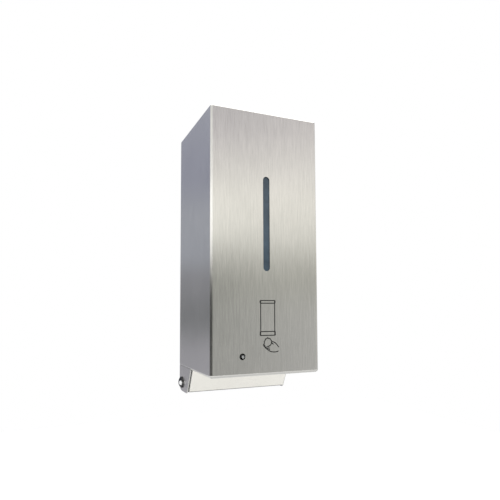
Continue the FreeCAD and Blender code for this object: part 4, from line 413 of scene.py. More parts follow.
def cell_finish(name, jacket, band, steel, cell_length, span=(0.025, 0.935), band_from=0.68):
    """A printed jacket with a bright band at one end, and bare steel past the jacket's span. The
    span and the band's start are shares of the cell's length."""
    material, tree, shader = new_finish(name)
    place = object_place(tree)
    parts = split(tree, place)
    low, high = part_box("battery_cells")
    column = maths(tree, "GREATER_THAN", parts[0], (low.x + high.x) / 2)
    base = spread(tree, column, 0.0, 1.0, high.z - 2 * cell_length, low.z)
    rise = over(tree, minus(tree, parts[2], base), cell_length)
    rise = maths(tree, "FRACT", plus(tree, rise, 1.0))
    turned = maths(tree, "ABSOLUTE", minus(tree, column, rise))
    scuffs = noise(tree, stretched(tree, place, (1.0, 1.0, 0.4)), 700.0, 4.0, 0.7)
    rubbed = [part * 2.2 + 0.02 for part in jacket]
    worn = blend(tree, spread(tree, scuffs, 0.55, 0.8, 0.0, 0.4), jacket, rubbed)
    is_band = maths(tree, "GREATER_THAN", turned, band_from)
    from_middle = maths(tree, "ABSOLUTE", minus(tree, turned, (span[0] + span[1]) / 2))
    is_steel = maths(tree, "GREATER_THAN", from_middle, (span[1] - span[0]) / 2)
    feed(tree, shader, Base_Color=blend(tree, is_steel, blend(tree, is_band, worn, band), steel),
         Metallic=maths(tree, "MAXIMUM", is_steel, times(tree, is_band, 0.7)),
         Roughness=over_noise(tree, scuffs, 0.38, 0.24), Normal=bump(tree, scuffs, 4.0e-6))
    return material


def lead_finish(name, live, earth):
    """Two sheathed leads side by side, one of each colour, with a soft grain."""
    material, tree, shader = new_finish(name)
    place = object_place(tree)
    parts = split(tree, place)
    battery_low, battery_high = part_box("battery_leads")
    motor_low, motor_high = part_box("motor_leads")
    run_start, run_end = 3.1 * MM, 11.1 * MM
    foot, head = motor_low.z + 2.2 * MM, motor_high.z - 3.2 * MM
    step = spread(tree, parts[0], run_start, run_end, foot, head)
    upper = maths(tree, "GREATER_THAN", parts[2], step)
    right = maths(tree, "GREATER_THAN", parts[0], (battery_low.x + battery_high.x) / 2)
    is_battery = maths(tree, "LESS_THAN", parts[0], battery_high.x + 1.0 * MM)
    is_live = take(tree, "ShaderNodeMix", {0: is_battery, 2: upper, 3: right})
    grain = noise(tree, place, 1500.0, 3.0, 0.6)
    tone = blend(tree, is_live, earth, live)
    dust = spread(tree, grain, 0.4, 0.8, 0.0, 0.25)
    feed(tree, shader, Base_Color=blend(tree, dust, tone, (0.5, 0.5, 0.5)),
         Roughness=over_noise(tree, grain, 0.42, 0.55), Normal=bump(tree, grain, 1.0e-5))
    return material


def nodes_of(slot):
    """The CAD nodes of a material slot."""
    found = [NODES[row["node"]] for row in frame["record"]["subparts"] if row["material_slot"] == slot]
    if not found:
        raise RuntimeError("no node has the material slot " + slot)
    return found


def dress(slot, material):
    """Put a finish on every CAD node of a material slot."""
    for piece in nodes_of(slot):
        piece.data.materials.clear()
        piece.data.materials.append(material)


def finish_of(slot):
    """The material that a slot's nodes carry."""
    return nodes_of(slot)[0].data.materials[0]


class DISPENSER_OT_finish_steel(bpy.types.Operator):
    """Brushed, plated and polished finishes for every metal piece"""
    bl_idname = "dispenser.finish_steel"
    bl_label = "Finish the metal"

    def execute(self, context):
        s = context.scene.dispenser_steel
        width, ratio = s.line_width, s.line_ratio
        # The cover and the chin get painted shade on faces that look down; the chin's sideways edges
        # get painted shade too.
        dress("cover_steel", brushed("Brushed Cover", s.cover_light, s.cover_dark, s.cover_roughness,
                                     width, ratio, flow=0.85, underside_shade=(0.44, 0.435, 0.41), tilt=0.2))
        dress("chin_steel", brushed("Bright Chin", s.chin_light, s.chin_dark, 0.22, width, ratio,
                                    flow=0.2, depth=6e-7, cloud=0.15, underside_shade=(0.03, 0.03, 0.03),
                                    side_edge_shade=(0.05, 0.05, 0.05)))
        dress("plate_steel", brushed("Mill Finish", s.plate_light, s.plate_dark, 0.36, 2 * width,
                                     ratio / 4, flow=0.3, cloud=0.5))
        # The rivet's dome gets a painted highlight and a painted dark rim.
        dress("rivet_steel", rivet_painted_light("Polished Rivet", (0.95, 0.95, 0.94), (0.035, 0.035, 0.04)))
        for slot, name, light, dark, roughness in (
                ("zinc_steel", "Zinc Plate", (0.68, 0.69, 0.70), (0.50, 0.51, 0.54), 0.30),
                ("lock_metal", "Satin Nickel", (0.74, 0.73, 0.69), (0.62, 0.61, 0.58), 0.24),
                ("shaft_steel", "Ground Steel", (0.72, 0.72, 0.72), (0.60, 0.60, 0.61), 0.18),
                ("brass_metal", "Cut Brass", (0.78, 0.60, 0.28), (0.60, 0.44, 0.18), 0.24),
                ("spring_steel", "Spring Wire", (0.66, 0.66, 0.67), (0.48, 0.48, 0.50), 0.24),
                ("contact_metal", "Tinned Contact", (0.76, 0.74, 0.68), (0.60, 0.58, 0.52), 0.28)):
            dress(slot, machined(name, light, dark, roughness))
        dress("motor_can", machined("Motor Can", (0.66, 0.67, 0.68), (0.53, 0.54, 0.56), 0.28,
                                    grain=1500.0))
        return {"FINISHED"}


class DISPENSER_OT_finish_plastic(bpy.types.Operator):
    """Moulded and translucent finishes for the case, the pump, the gears, the tank and the window"""
    bl_idname = "dispenser.finish_plastic"
    bl_label = "Finish the plastic"

    def execute(self, context):
        s = context.scene.dispenser_plastic
        pitch = s.texture_pitch
        dress("case_plastic", moulded("Case Plastic", s.case_colour, 0.52, pitch))
        dress("grey_plastic", moulded("Grey Plastic", s.part_colour, 0.46, pitch))
        dress("white_plastic", moulded("White Plastic", s.pump_colour, 0.36, pitch / 2, depth=4e-6,
                                       wear=0.05))
        dress("gear_plastic", moulded("Gear Plastic", s.gear_colour, 0.34, pitch / 2, depth=4e-6,
                                      wear=0.06, Subsurface_Weight=0.15, Subsurface_Scale=0.002))
        dress("cap_plastic", moulded("Cap Plastic", s.cap_colour, 0.34, pitch / 1.5, depth=6e-6))
        dress("rubber_black", moulded("Black Rubber", (0.022, 0.022, 0.023), 0.62, pitch / 1.5,
                                      wear=0.8))
        dress("switch_black", moulded("Switch Plastic", (0.020, 0.020, 0.022), 0.38, pitch / 2,
                                      depth=5e-6))
        dress("tank_plastic", clear_moulded("Tank Plastic", s.tank_colour,
                                            [part * 0.9 for part in s.tank_colour], 0.42, 0.45,
                                            ripple=1.5e-4))
        dress("window_tint", clear_moulded("Tinted Window", s.window_colour,
                                           [part * 0.6 for part in s.window_colour], 0.16, 0.10))
        dress("lens_clear", clear_moulded("Light Pipe", (0.86, 0.89, 0.87), (0.70, 0.73, 0.72), 0.20,
                                          0.25))
        dress("infrared_dark", clear_moulded("Infrared Window", (0.055, 0.012, 0.020),
                                             (0.03, 0.006, 0.012), 0.12, 0.15))
        return {"FINISHED"}


class DISPENSER_OT_finish_electrics(bpy.types.Operator):
    """Finishes for the boards, their components, the cells and the leads"""
    bl_idname = "dispenser.finish_electrics"
    bl_label = "Finish the electrics"

    def execute(self, context):
        dress("board_green", circuit_board("Solder Mask", (0.010, 0.085, 0.040), (0.022, 0.17, 0.075),
                                           (0.72, 0.70, 0.64)))
        dress("parts_black", moulded("Component Epoxy", (0.030, 0.030, 0.032), 0.42, 0.0004,
                                     depth=5e-6))
        dress("cell_jacket", cell_finish("Cell Jacket", (0.020, 0.045, 0.030), (0.62, 0.42, 0.16),
                                         (0.66, 0.66, 0.66), 0.050))
        dress("lead_sheath", lead_finish("Lead Sheath", (0.36, 0.025, 0.020), (0.020, 0.020, 0.022)))
        return {"FINISHED"}


# ---- Geometry node helpers
def new_shape(name, inputs):
    """An empty geometry tree with named inputs. Returns it and the sockets that give them."""
    tree = bpy.data.node_groups.new(name, "GeometryNodeTree")
    tree.interface.new_socket("Stations", in_out="INPUT", socket_type="NodeSocketGeometry")
    for label, value in inputs.items():
        kind = "NodeSocketInt" if isinstance(value, int) else "NodeSocketFloat"
        tree.interface.new_socket(label, in_out="INPUT", socket_type=kind).default_value = value
    tree.interface.new_socket("Shape", in_out="OUTPUT", socket_type="NodeSocketGeometry")
    return tree, node(tree, "NodeGroupInput").outputs


def height_vector(tree, z):
    return take(tree, "ShaderNodeCombineXYZ", {2: z})


def moved(tree, shape, z):
    return take(tree, "GeometryNodeTransform", {"Geometry": shape,
                                                "Translation": height_vector(tree, z)})


def drum(tree, sides, radius, low, high, rings=1, fans=1):
    """A solid cylinder along Z between two heights."""
    depth = minus(tree, high, low)
    made = take(tree, "GeometryNodeMeshCylinder",
                {"Vertices": sides, "Radius": radius, "Depth": depth, "Side Segments": rings,
                 "Fill Segments": fans})
    return moved(tree, made, times(tree, plus(tree, high, low), 0.5))


def cone(tree, sides, foot_r, top_r, low, high):
    depth = minus(tree, high, low)
    made = take(tree, "GeometryNodeMeshCone", {"Vertices": sides, "Radius Bottom": foot_r,
                                               "Radius Top": top_r, "Depth": depth})
    return moved(tree, made, low)


def solid(tree, operation, shapes):
    """Union of shapes, or the first shape minus the others or shared with them."""
    made = node(tree, "GeometryNodeMeshBoolean", operation=operation)
    if operation == "DIFFERENCE":
        tree.links.new(shapes[0], made.inputs["Mesh 1"])
        shapes = shapes[1:]
    for shape in reversed(shapes):
        tree.links.new(shape, made.inputs["Mesh 2"])
    return made.outputs[0]


def set_out(tree, inputs, shape, material):
    """Stand the shape on every station, turned to the station's facing, and end the tree."""
    points = take(tree, "GeometryNodeMeshToPoints", {"Mesh": inputs["Stations"]})
    facing = take(tree, "GeometryNodeInputNamedAttribute", {"Name": "facing"},
                  data_type="FLOAT_VECTOR")
    turn = take(tree, "FunctionNodeAlignRotationToVector", {"Vector": facing}, axis="Z")
    standing = take(tree, "GeometryNodeInstanceOnPoints",
                    {"Points": points, "Instance": shape, "Rotation": turn})
    real = take(tree, "GeometryNodeRealizeInstances", {"Geometry": standing})
    real = take(tree, "GeometryNodeSetShadeSmooth", {"Geometry": real, "Shade Smooth": True})
    real = take(tree, "GeometryNodeSetMaterial", {"Geometry": real, "Material": material})
    tree.links.new(real, node(tree, "NodeGroupOutput").inputs[0])


def bake(name, tree, stations, values, sharp=None):
    """Run a geometry tree on its stations, given as (place, facing), and keep the plain mesh."""
    mesh = bpy.data.meshes.new(name)
    mesh.from_pydata([place for place, facing in stations], [], [])
    facings = mesh.attributes.new("facing", "FLOAT_VECTOR", "POINT")
    for row, (place, facing) in zip(facings.data, stations):
        row.vector = facing
    return bake_mesh(name, mesh, tree, values, sharp)


def bake_mesh(name, mesh, tree, values, sharp=None):
    """Run a geometry tree on a mesh and keep the result, with edges past the sharp angle sharp."""
    piece = bpy.data.objects.new(name, mesh)
    bpy.context.scene.collection.objects.link(piece)
    modifier = piece.modifiers.new("Shape", "NODES")
    modifier.node_group = tree
    for item in tree.interface.items_tree:
        if item.in_out == "INPUT" and item.name in values:
            modifier[item.identifier] = values[item.name]
    depsgraph = bpy.context.evaluated_depsgraph_get()
    result = bpy.data.meshes.new_from_object(piece.evaluated_get(depsgraph), depsgraph=depsgraph)
    piece.modifiers.clear()
    piece.data = result
    if not len(result.polygons):
        raise RuntimeError(name + " came out empty")
    if sharp is not None:
        result.set_sharp_from_angle(angle=sharp)
    return piece


def stand_for(piece, body, node_name):
    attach(piece, body)
    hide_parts(node_name)


# ---- Springs
COIL_SHARP = math.radians(60)


def coil_tree(name, values, material):
    """A wire coil along Z whose ends lie flat."""
    tree, inputs = new_shape(name, values)
    flat = take(tree, "GeometryNodeCurveSpiral",
                {"Resolution": inputs["Steps"], "Rotations": inputs["Turns"],
                 "Start Radius": inputs["Foot radius"], "End Radius": inputs["Head radius"],
                 "Height": 0.0})
    along = node(tree, "GeometryNodeSplineParameter").outputs["Factor"]
    ends = over(tree, inputs["Closed"], inputs["Turns"])
    rise = take(tree, "ShaderNodeMapRange",
                {"Value": along, "From Min": ends, "From Max": minus(tree, 1.0, ends),
                 "To Min": inputs["Wire"], "To Max": minus(tree, inputs["Height"], inputs["Wire"])})
    wound = take(tree, "GeometryNodeSetPosition", {"Geometry": flat,
                                                   "Offset": height_vector(tree, rise)})
    section = take(tree, "GeometryNodeCurvePrimitiveCircle",
                   {"Resolution": 14, "Radius": inputs["Wire"]})
    wire = take(tree, "GeometryNodeCurveToMesh", {"Curve": wound, "Profile Curve": section,
                                                  "Fill Caps": True})
    set_out(tree, inputs, wire, material)
    return tree


class DISPENSER_OT_make_springs(bpy.types.Operator):
    """The pump's return spring and the two coils that press on the cells"""
    bl_idname = "dispenser.make_springs"
    bl_label = "Wind the springs"

    def execute(self, context):
        s = context.scene.dispenser_springs
        wire_finish = finish_of("spring_steel")
        low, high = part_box("return_spring")
        radius = (high.x - low.x) / 2 - s.wire
        values = {"Turns": s.turns, "Steps": 48, "Foot radius": radius, "Head radius": radius,
                  "Height": high.z - low.z, "Wire": s.wire, "Closed": s.closed}
        tree = coil_tree("Coil", values, wire_finish)
        foot = Vector(((low.x + high.x) / 2, (low.y + high.y) / 2, low.z))
        spring = bake("pump_spring", tree, [(foot, (0, 0, 1))], values, COIL_SHARP)
        stand_for(spring, "pump_carriage", "return_spring")
        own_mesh(spring)

        low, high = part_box("battery_springs")
        radius = (high.y - low.y) / 2 - s.cell_wire
        side = (high.x - low.x) / 2 - radius - s.cell_wire
        middle = (low.y + high.y) / 2
        coil_low, coil_high = islands("battery_springs")[0]
        values = {"Turns": s.cell_turns, "Steps": 40, "Foot radius": radius,
                  "Head radius": radius * s.cell_taper, "Height": coil_high.z - coil_low.z,
                  "Wire": s.cell_wire, "Closed": s.closed}
        tree = coil_tree("Cell Coil", values, wire_finish)
        stations = [(Vector((-side, middle, low.z)), (0, 0, 1)),
                    (Vector((side, middle, high.z)), (0, 0, -1))]
        coils = bake("cell_springs", tree, stations, values, COIL_SHARP)
        stand_for(coils, "base", "battery_springs")
        return {"FINISHED"}


# ---- Fasteners
FASTENER_SHARP = math.radians(28)
SOCKET_FLOOR = 0.35     # of a screw head's height
FLANGE_TAPER = 0.94     # top of a nut's flange, of its foot
TAIL_TAPER = 0.82       # end of a rivet's tail head, of its seat
PAST = 0.001            # how far a cutter reaches past what it cuts
SAME_POINT = 2e-6       # corners closer than this are one


def screw_tree(name, values, material):
    """A pan head screw whose seat is at z = 0: a domed head with a socket, and a ringed shank."""
    tree, inputs = new_shape(name, values)
    head = drum(tree, inputs["Sides"], inputs["Head radius"], 0.0, inputs["Head height"], 2, 6)
    parts = split(tree, take(tree, "GeometryNodeInputPosition"))
    out = maths(tree, "SQRT", squares(tree, parts[0], parts[1]))
    reach = maths(tree, "POWER", over(tree, out, inputs["Head radius"]), 3.0)
    lift = over(tree, parts[2], inputs["Head height"])
    drop = times(tree, times(tree, reach, lift), times(tree, inputs["Head height"], inputs["Bulge"]))
    sunk = height_vector(tree, times(tree, drop, -1.0))
    domed = take(tree, "GeometryNodeSetPosition", {"Geometry": head, "Offset": sunk})
    corner = over(tree, inputs["Socket"], math.sqrt(3))
    floor = times(tree, inputs["Head height"], SOCKET_FLOOR)
    socket = drum(tree, 6, corner, floor, times(tree, inputs["Head height"], 2.0))
    foot = times(tree, inputs["Shank length"], -1.0)
    shank = drum(tree, 24, inputs["Shank radius"], foot, 0.0, 48, 1)
    rings = over(tree, parts[2], inputs["Thread pitch"])
    ring = maths(tree, "SINE", times(tree, rings, 2 * math.pi))
    inward = times(tree, minus(tree, ring, 1.0), times(tree, inputs["Thread depth"], 0.5))
    flat_place = take(tree, "ShaderNodeCombineXYZ", {0: parts[0], 1: parts[1]})
    unit = take(tree, "ShaderNodeVectorMath", {0: flat_place}, operation="NORMALIZE")
    pulled = take(tree, "ShaderNodeVectorMath", {0: unit, "Scale": inward}, operation="SCALE")
    threaded = take(tree, "GeometryNodeSetPosition", {"Geometry": shank, "Offset": pulled})
    whole = solid(tree, "UNION", [solid(tree, "DIFFERENCE", [domed, socket]), threaded])
    set_out(tree, inputs, whole, material)
    return tree


def nut_tree(name, values, material):
    """A flange nut that stands on z = 0."""
    tree, inputs = new_shape(name, values)
    top = inputs["Height"]
    corner = over(tree, inputs["Flats"], math.sqrt(3))
    body = drum(tree, 6, corner, 0.0, top)
    shave = cone(tree, inputs["Sides"], plus(tree, corner, top),
                 minus(tree, corner, inputs["Chamfer"]), 0.0, top)
    shaved = solid(tree, "INTERSECT", [body, shave])
    flange = cone(tree, inputs["Sides"], inputs["Flange radius"],
                  times(tree, inputs["Flange radius"], FLANGE_TAPER), 0.0, inputs["Flange height"])
    bore = drum(tree, inputs["Sides"], inputs["Bore radius"], -PAST, times(tree, top, 2.0))
    whole = solid(tree, "DIFFERENCE", [solid(tree, "UNION", [shaved, flange]), bore])
    set_out(tree, inputs, whole, material)
    return tree


def rivet_tree(name, values, material):
    """A pivot rivet whose head's seat is at z = 0: domed head, shoulder, tail and tail head."""
    tree, inputs = new_shape(name, values)
    sides = inputs["Sides"]
    rim = inputs["Rim"]
    head = drum(tree, sides, inputs["Head radius"], 0.0, rim, 1, 14)
    parts = split(tree, take(tree, "GeometryNodeInputPosition"))
    rim_square = times(tree, inputs["Head radius"], inputs["Head radius"])
    share_out = over(tree, squares(tree, parts[0], parts[1]), rim_square)
    is_top = maths(tree, "GREATER_THAN", parts[2], times(tree, rim, 0.5))
    rise = times(tree, minus(tree, 1.0, share_out), inputs["Dome"])
    lift = times(tree, rise, is_top)
    domed = take(tree, "GeometryNodeSetPosition", {"Geometry": head,
                                                   "Offset": height_vector(tree, lift)})
    step = times(tree, inputs["Shoulder length"], -1.0)
    tail = minus(tree, step, inputs["Tail length"])
    end = minus(tree, tail, inputs["Tail head height"])
    pieces = [domed, drum(tree, sides, inputs["Shoulder radius"], step, times(tree, rim, 0.4)),
              drum(tree, sides, inputs["Tail radius"], tail, times(tree, step, 0.5)),
              cone(tree, sides, times(tree, inputs["Tail head radius"], TAIL_TAPER),
                   inputs["Tail head radius"], end, tail)]
    set_out(tree, inputs, solid(tree, "UNION", pieces), material)
    return tree


def islands(node_name):
    """The boxes of a node's separate solids, found from its shared corners."""
    mesh = NODES[node_name].data
    home = {}

    def root(key):
        while home[key] != key:
            home[key] = home[home[key]]
            key = home[key]
        return key

    keys = [tuple(round(c / SAME_POINT) for c in v.co) for v in mesh.vertices]
    for key in keys:
        home.setdefault(key, key)
    for face in mesh.polygons:
        first = root(keys[face.vertices[0]])
        for index in face.vertices[1:]:
            home[root(keys[index])] = first
    boxes = {}
    for key, vertex in zip(keys, mesh.vertices):
        low, high = boxes.setdefault(root(key), (vertex.co.copy(), vertex.co.copy()))
        for axis in range(3):
            low[axis] = min(low[axis], vertex.co[axis])
            high[axis] = max(high[axis], vertex.co[axis])
    return sorted(boxes.values(), key=lambda pair: tuple(round(c, 5) for c in (*pair[0], *pair[1])))


def screw_stations(node_name, head_height, outward):
    """Seats of a node's screws, whose heads point outward along one of the given directions."""
    stations = []
    for low, high in islands(node_name):
        size = high - low
        axis = max(range(3), key=lambda k: size[k])
        direction = Vector((0, 0, 0))
        direction[axis] = outward[axis]
        seat = (low + high) / 2
        seat[axis] = (high if outward[axis] > 0 else low)[axis] - direction[axis] * head_height
        stations.append((seat, tuple(direction)))
    return stations


class DISPENSER_OT_make_fasteners(bpy.types.Operator):
    """Screws, flange nuts and the two pivot rivets"""
    bl_idname = "dispenser.make_fasteners"
    bl_label = "Set the fasteners"

    def execute(self, context):
        s = context.scene.dispenser_fasteners
        zinc, polish = finish_of("zinc_steel"), finish_of("rivet_steel")
        values = {"Sides": s.facets, "Head radius": s.screw_head, "Head height": s.screw_height,
                  "Bulge": s.head_bulge, "Socket": s.socket_flats, "Shank radius": s.shank,
                  "Shank length": s.shank_length, "Thread depth": s.thread_depth,
                  "Thread pitch": s.thread_pitch}
        tree = screw_tree("Pan Head Screw", values, zinc)
        for name, node_name in (("front_screws", "case_screws"),
                                ("gear_and_board_screws", "inner_screws")):
            stations = screw_stations(node_name, s.screw_height, (0, -1, 1))
            screws = bake(name, tree, stations, values, FASTENER_SHARP)
            stand_for(screws, "base", node_name)

        values = {"Sides": s.facets, "Flats": s.nut_flats, "Height": s.nut_height,
                  "Chamfer": s.nut_chamfer, "Flange radius": s.nut_flange,
                  "Flange height": s.flange_height, "Bore radius": s.nut_bore}
        tree = nut_tree("Flange Nut", values, zinc)
        stations = [(Vector(((low.x + high.x) / 2, high.y, (low.z + high.z) / 2)), (0, -1, 0))
                    for low, high in islands("flange_nuts")]
        nuts = bake("stud_nuts", tree, stations, values, FASTENER_SHARP)
        stand_for(nuts, "base", "flange_nuts")

        plate_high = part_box("back_plate")[1]
        rivet_low, rivet_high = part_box("pivot_rivets")
        seat_x = rivet_high.x - s.dome_rise - s.dome_rim
        values = {"Sides": 2 * s.facets, "Head radius": (rivet_high.z - rivet_low.z) / 2,
                  "Rim": s.dome_rim, "Dome": s.dome_rise, "Shoulder radius": s.shoulder,
                  "Shoulder length": seat_x - plate_high.x, "Tail radius": s.tail,
                  "Tail length": s.tail_length, "Tail head radius": s.tail_head,
                  "Tail head height": s.tail_head_height}
        tree = rivet_tree("Pivot Rivet", values, polish)
        middle = (rivet_low + rivet_high) / 2
        stations = [(Vector((side * seat_x, middle.y, middle.z)), (side, 0, 0)) for side in (-1, 1)]
        rivets = bake("domed_rivets", tree, stations, values, FASTENER_SHARP)
        stand_for(rivets, "base", "pivot_rivets")
        return {"FINISHED"}


# ---- Picture on the front
def ink_tree(name, values, material):
    """Strokes given as edges, rounded into smooth lines and flattened on the sheet."""
    tree, inputs = new_shape(name, values)
    curve = take(tree, "GeometryNodeMeshToCurve", {"Mesh": inputs["Stations"]})
    curve = take(tree, "GeometryNodeCurveSplineType", {"Curve": curve}, spline_type="CATMULL_ROM")
    curve = take(tree, "GeometryNodeSetSplineResolution", {"Geometry": curve, "Resolution": 8})
    section = take(tree, "GeometryNodeCurvePrimitiveCircle",
                   {"Resolution": 10, "Radius": times(tree, inputs["Line"], 0.5)})
    line = take(tree, "GeometryNodeCurveToMesh", {"Curve": curve, "Profile Curve": section,
                                                  "Fill Caps": True})
    thin = over(tree, times(tree, inputs["Proud"], 2.0), inputs["Line"])
    squeeze = take(tree, "ShaderNodeCombineXYZ", {0: 1.0, 1: thin, 2: 1.0})
    onto = take(tree, "ShaderNodeCombineXYZ", {1: inputs["Face"]})
    flat = take(tree, "GeometryNodeTransform", {"Geometry": line, "Scale": squeeze,
                                                "Translation": onto})
    real = take(tree, "GeometryNodeRealizeInstances", {"Geometry": flat})
    real = take(tree, "GeometryNodeSetMaterial", {"Geometry": real, "Material": material})
    tree.links.new(real, node(tree, "NodeGroupOutput").inputs[0])
    return tree


def strokes_of(s):
    """The picture's strokes as lists of (x, height) in metres: a container, foam and an open hand."""
    left, right = s.middle_x - s.frame_width / 2, s.middle_x + s.frame_width / 2
    low, high = s.frame_low, s.frame_high
    strokes = [[(side, low), (side, high)] for side in (left, right)]
    left, right = left - s.band_over, right + s.band_over
    for foot, head in ((low, low + s.foot_band), (high - s.head_band, high)):
        strokes += [[(left, foot), (right, foot)], [(left, head), (right, head)],
                    [(left, foot), (left, head)], [(right, foot), (right, head)]]

    def hand(points):
        """Points drawn in millimetres."""
        return [(x * MM, height * MM) for x, height in points]

    foam = [(4.4, 31.2), (4.8, 33.0), (3.8, 33.9), (3.1, 35.2), (1.6, 35.2), (0.8, 36.2), (-0.4, 35.1),
            (-1.8, 34.9), (-2.1, 33.4), (-3.2, 32.4), (-2.8, 31.0), (-3.6, 29.8), (-2.6, 28.9),
            (-2.2, 27.8)]
    thumb = [(4.6, 32.2), (6.4, 32.0), (8.6, 31.0), (10.6, 29.0), (12.6, 26.6)]
    palm = [(5.0, 31.6), (4.4, 30.0), (3.2, 28.6), (1.4, 27.6)]
    crease = [(4.9, 31.0), (6.0, 30.2), (6.8, 29.4)]
    index = [(-3.8, 29.9), (-3.6, 28.4), (-2.2, 27.3), (-0.2, 27.2), (1.6, 27.9), (2.8, 28.6)]
    middle = [(-2.8, 27.6), (-1.4, 26.0), (0.6, 25.9), (2.6, 26.6)]
    ring = [(-0.9, 25.9), (0.2, 24.7), (1.8, 24.5), (3.0, 25.2)]
    wrist = [(0.8, 24.5), (2.6, 23.3), (5.2, 22.4), (8.2, 22.1), (10.6, 22.4), (12.2, 23.0)]
    return strokes + [hand(line) for line in (foam, thumb, palm, crease, index, middle, ring, wrist)]


class DISPENSER_OT_draw_picture(bpy.types.Operator):
    """The plain picture of a container over a hand, in ink on the cover's front"""
    bl_idname = "dispenser.draw_picture"
    bl_label = "Draw the picture"

    def execute(self, context):
        s = context.scene.dispenser_picture
        ink = moulded("Picture Ink", s.ink, 0.55, 0.0003, depth=2e-6, Specular_IOR_Level=0.15)
        cover_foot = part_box("drive_case")[0].z - s.case_lift
        points, edges = [], []
        for stroke in strokes_of(s):
            start = len(points)
            points += [(x, 0.0, cover_foot + height) for x, height in stroke]
            edges += [(k, k + 1) for k in range(start, len(points) - 1)]
        mesh = bpy.data.meshes.new("front_picture")
        mesh.from_pydata(points, edges, [])
        values = {"Line": s.line, "Proud": s.proud, "Face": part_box("cover_shell")[0].y}
        picture = bake_mesh("front_picture", mesh, ink_tree("Ink Lines", values, ink), values)
        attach(picture, "cover")
        return {"FINISHED"}


# ---- Stage
WORLD_FOOT, WORLD_TOP = -0.3, 0.5


def ramp(tree, value, stops):
    """A smooth colour ramp over stops given as (position, grey or colour)."""
    made = node(tree, "ShaderNodeValToRGB", {0: value})
    made.color_ramp.interpolation = "EASE"
    elements = made.color_ramp.elements
    while len(elements) < len(stops):
        elements.new(0.5)
    for element, (position, tone) in zip(elements, stops):
        element.position = position
        element.color = (*tone, 1.0) if isinstance(tone, tuple) else (tone, tone, tone, 1.0)
    return made.outputs[0]


def studio_world(scene, glow):
    """Soft light all round: bright from above the horizon, dimmer along it. Each ramp runs over
    the height of the way looked, and at() gives an elevation's place on it."""
    world = bpy.data.worlds.new("Studio")
    world.use_nodes = True
    scene.world = world
    tree = world.node_tree
    tree.nodes.clear()
    way = split(tree, node(tree, "ShaderNodeTexCoord").outputs["Generated"])
    height = spread(tree, way[2], WORLD_FOOT, WORLD_TOP, 0.0, 1.0)
    turn = maths(tree, "ARCTAN2", way[0], times(tree, way[1], -1.0))

    def at(elevation):
        return (math.sin(math.radians(elevation)) - WORLD_FOOT) / (WORLD_TOP - WORLD_FOOT)

    front = ramp(tree, height, [(0.0, 0.38), (at(-1), (0.325, 0.335, 0.32)),
                                (at(4.2), (0.30, 0.31, 0.29)), (at(10), (1.02, 1.02, 0.98)),
                                (at(13.5), (1.10, 1.09, 1.04)), (at(18), (0.84, 0.82, 0.82)),
                                (at(22), (0.58, 0.555, 0.60)), (1.0, 0.55)])
    right = ramp(tree, height, [(0.0, 0.64), (at(-1), 0.60), (at(3.5), (0.53, 0.53, 0.49)),
                                (at(9), (0.90, 0.89, 0.85)), (at(12.5), (1.0, 0.98, 0.94)),
                                (at(17), (0.88, 0.86, 0.85)), (at(22), (0.72, 0.69, 0.71)),
                                (1.0, 0.60)])
    left = ramp(tree, height, [(0.0, 0.13), (at(-1), 0.05), (at(3.0), 0.04), (at(7.5), 1.20),
                               (at(13), 1.50), (at(18), 1.00), (1.0, 0.70)])
    back = ramp(tree, height, [(0.0, (0.52, 0.51, 0.57)), (at(-6), (0.37, 0.37, 0.41)),
                               (at(-1), (0.21, 0.218, 0.236)), (at(3), (0.265, 0.27, 0.30)),
                               (at(7), (0.36, 0.38, 0.44)), (at(11), (0.36, 0.38, 0.44)),
                               (at(16), (0.29, 0.305, 0.39)), (1.0, (0.42, 0.44, 0.52))])
    tone = blend(tree, spread(tree, turn, 0.30, 0.60, 0.0, 1.0, True), front, right)
    left_share = times(tree, spread(tree, turn, -0.05, -0.45, 0.0, 1.0, True),
                       spread(tree, turn, -2.35, -1.9, 0.0, 1.0, True))
    tone = blend(tree, left_share, tone, left)
    back_share = spread(tree, maths(tree, "ABSOLUTE", turn), 1.9, 2.4, 0.0, 1.0, True)
    tone = blend(tree, back_share, tone, back)
    soft = node(tree, "ShaderNodeBackground", {"Color": tone, "Strength": glow})
    seen = node(tree, "ShaderNodeBackground", {"Color": (1.0, 1.0, 1.0, 1.0), "Strength": 1.0})
    is_camera = node(tree, "ShaderNodeLightPath").outputs["Is Camera Ray"]
    both = node(tree, "ShaderNodeMixShader", {0: is_camera, 1: soft.outputs[0], 2: seen.outputs[0]})
    tree.links.new(both.outputs[0], node(tree, "ShaderNodeOutputWorld").inputs[0])


def softbox(name, place, target, width, power):
    data = bpy.data.lights.new(name, "AREA")
    data.shape = "SQUARE"
    data.size = width
    data.energy = power
    lamp = bpy.data.objects.new(name, data)
    lamp.location = place
    lamp.rotation_mode = "QUATERNION"
    lamp.rotation_quaternion = (Vector(target) - Vector(place)).to_track_quat("-Z", "Y")
    lamp.visible_camera = False
    bpy.context.scene.collection.objects.link(lamp)


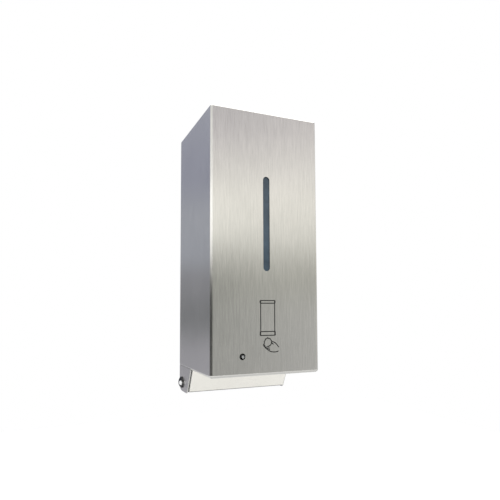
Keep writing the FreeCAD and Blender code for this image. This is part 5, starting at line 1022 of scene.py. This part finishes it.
class DISPENSER_OT_set_stage(bpy.types.Operator):
    """Pale floor, soft studio light and the camera"""
    bl_idname = "dispenser.set_stage"
    bl_label = "Set the stage"

    def execute(self, context):
        scene = context.scene
        s = scene.dispenser_stage
        half, drop = s.floor_half, -s.floor_drop
        mesh = bpy.data.meshes.new("floor")
        corners = [(-half, -half, drop), (half, -half, drop), (half, half, drop), (-half, half, drop)]
        mesh.from_pydata(corners, [], [(0, 1, 2, 3)])
        floor = bpy.data.objects.new("floor", mesh)
        scene.collection.objects.link(floor)
        material, tree, shader = new_finish("Pale Floor")
        grain = noise(tree, object_place(tree), 30.0, 3.0)
        feed(tree, shader, Base_Color=blend(tree, grain, (0.90, 0.90, 0.89), (0.93, 0.93, 0.93)),
             Roughness=over_noise(tree, grain, 0.7, 0.85))
        mesh.materials.append(material)
        studio_world(scene, s.glow)
        softbox("Floor Light", (0.0, -s.lamp_forward, s.lamp_height), (0.0, -s.lamp_forward, drop),
                s.lamp_width, s.lamp_power)

        camera = bpy.data.objects.new("Camera", bpy.data.cameras.new("Camera"))
        camera.data.lens = s.lens
        camera.data.sensor_width = 36.0
        camera.data.shift_x, camera.data.shift_y = s.shift
        camera.data.clip_start = 0.01
        back = Vector((math.sin(s.azimuth) * math.cos(s.elevation),
                       -math.cos(s.azimuth) * math.cos(s.elevation), math.sin(s.elevation)))
        turned = (-back).to_track_quat("-Z", "Y").to_matrix().to_4x4() @ Matrix.Rotation(s.roll, 4, "Z")
        camera.matrix_world = Matrix.Translation(s.place) @ turned
        scene.collection.objects.link(camera)
        scene.camera = camera
        scene.view_settings.view_transform = "Standard"
        return {"FINISHED"}


# ---- Panel and registration
STEPS = (DISPENSER_OT_finish_steel, DISPENSER_OT_finish_plastic, DISPENSER_OT_finish_electrics,
         DISPENSER_OT_make_springs, DISPENSER_OT_make_fasteners, DISPENSER_OT_draw_picture,
         DISPENSER_OT_set_stage)
SETTINGS = {"dispenser_steel": SteelSettings, "dispenser_plastic": PlasticSettings,
            "dispenser_springs": SpringSettings, "dispenser_fasteners": FastenerSettings,
            "dispenser_picture": PictureSettings, "dispenser_stage": StageSettings}


class DISPENSER_PT_looks(bpy.types.Panel):
    """Lists the steps that finish the dispenser and the sizes and colours that they use"""
    bl_idname = "DISPENSER_PT_looks"
    bl_label = "Soap dispenser"
    bl_space_type = "VIEW_3D"
    bl_region_type = "UI"
    bl_category = "Dispenser"

    def draw(self, context):
        for step in STEPS:
            self.layout.operator(step.bl_idname)
        for name in SETTINGS:
            box = self.layout.box()
            settings = getattr(context.scene, name)
            for key in settings.bl_rna.properties.keys():
                if key not in ("rna_type", "name"):
                    box.prop(settings, key)


def register():
    for settings in SETTINGS.values():
        bpy.utils.register_class(settings)
    for step in STEPS:
        bpy.utils.register_class(step)
    bpy.utils.register_class(DISPENSER_PT_looks)
    for name, settings in SETTINGS.items():
        setattr(bpy.types.Scene, name, PointerProperty(type=settings))


def unregister():
    for name in SETTINGS:
        delattr(bpy.types.Scene, name)
    bpy.utils.unregister_class(DISPENSER_PT_looks)
    for made in reversed((*SETTINGS.values(), *STEPS)):
        bpy.utils.unregister_class(made)


def main():
    register()
    for step in STEPS:
        group, name = step.bl_idname.split(".")
        getattr(getattr(bpy.ops, group), name)()


if __name__ == "__main__":
    main()
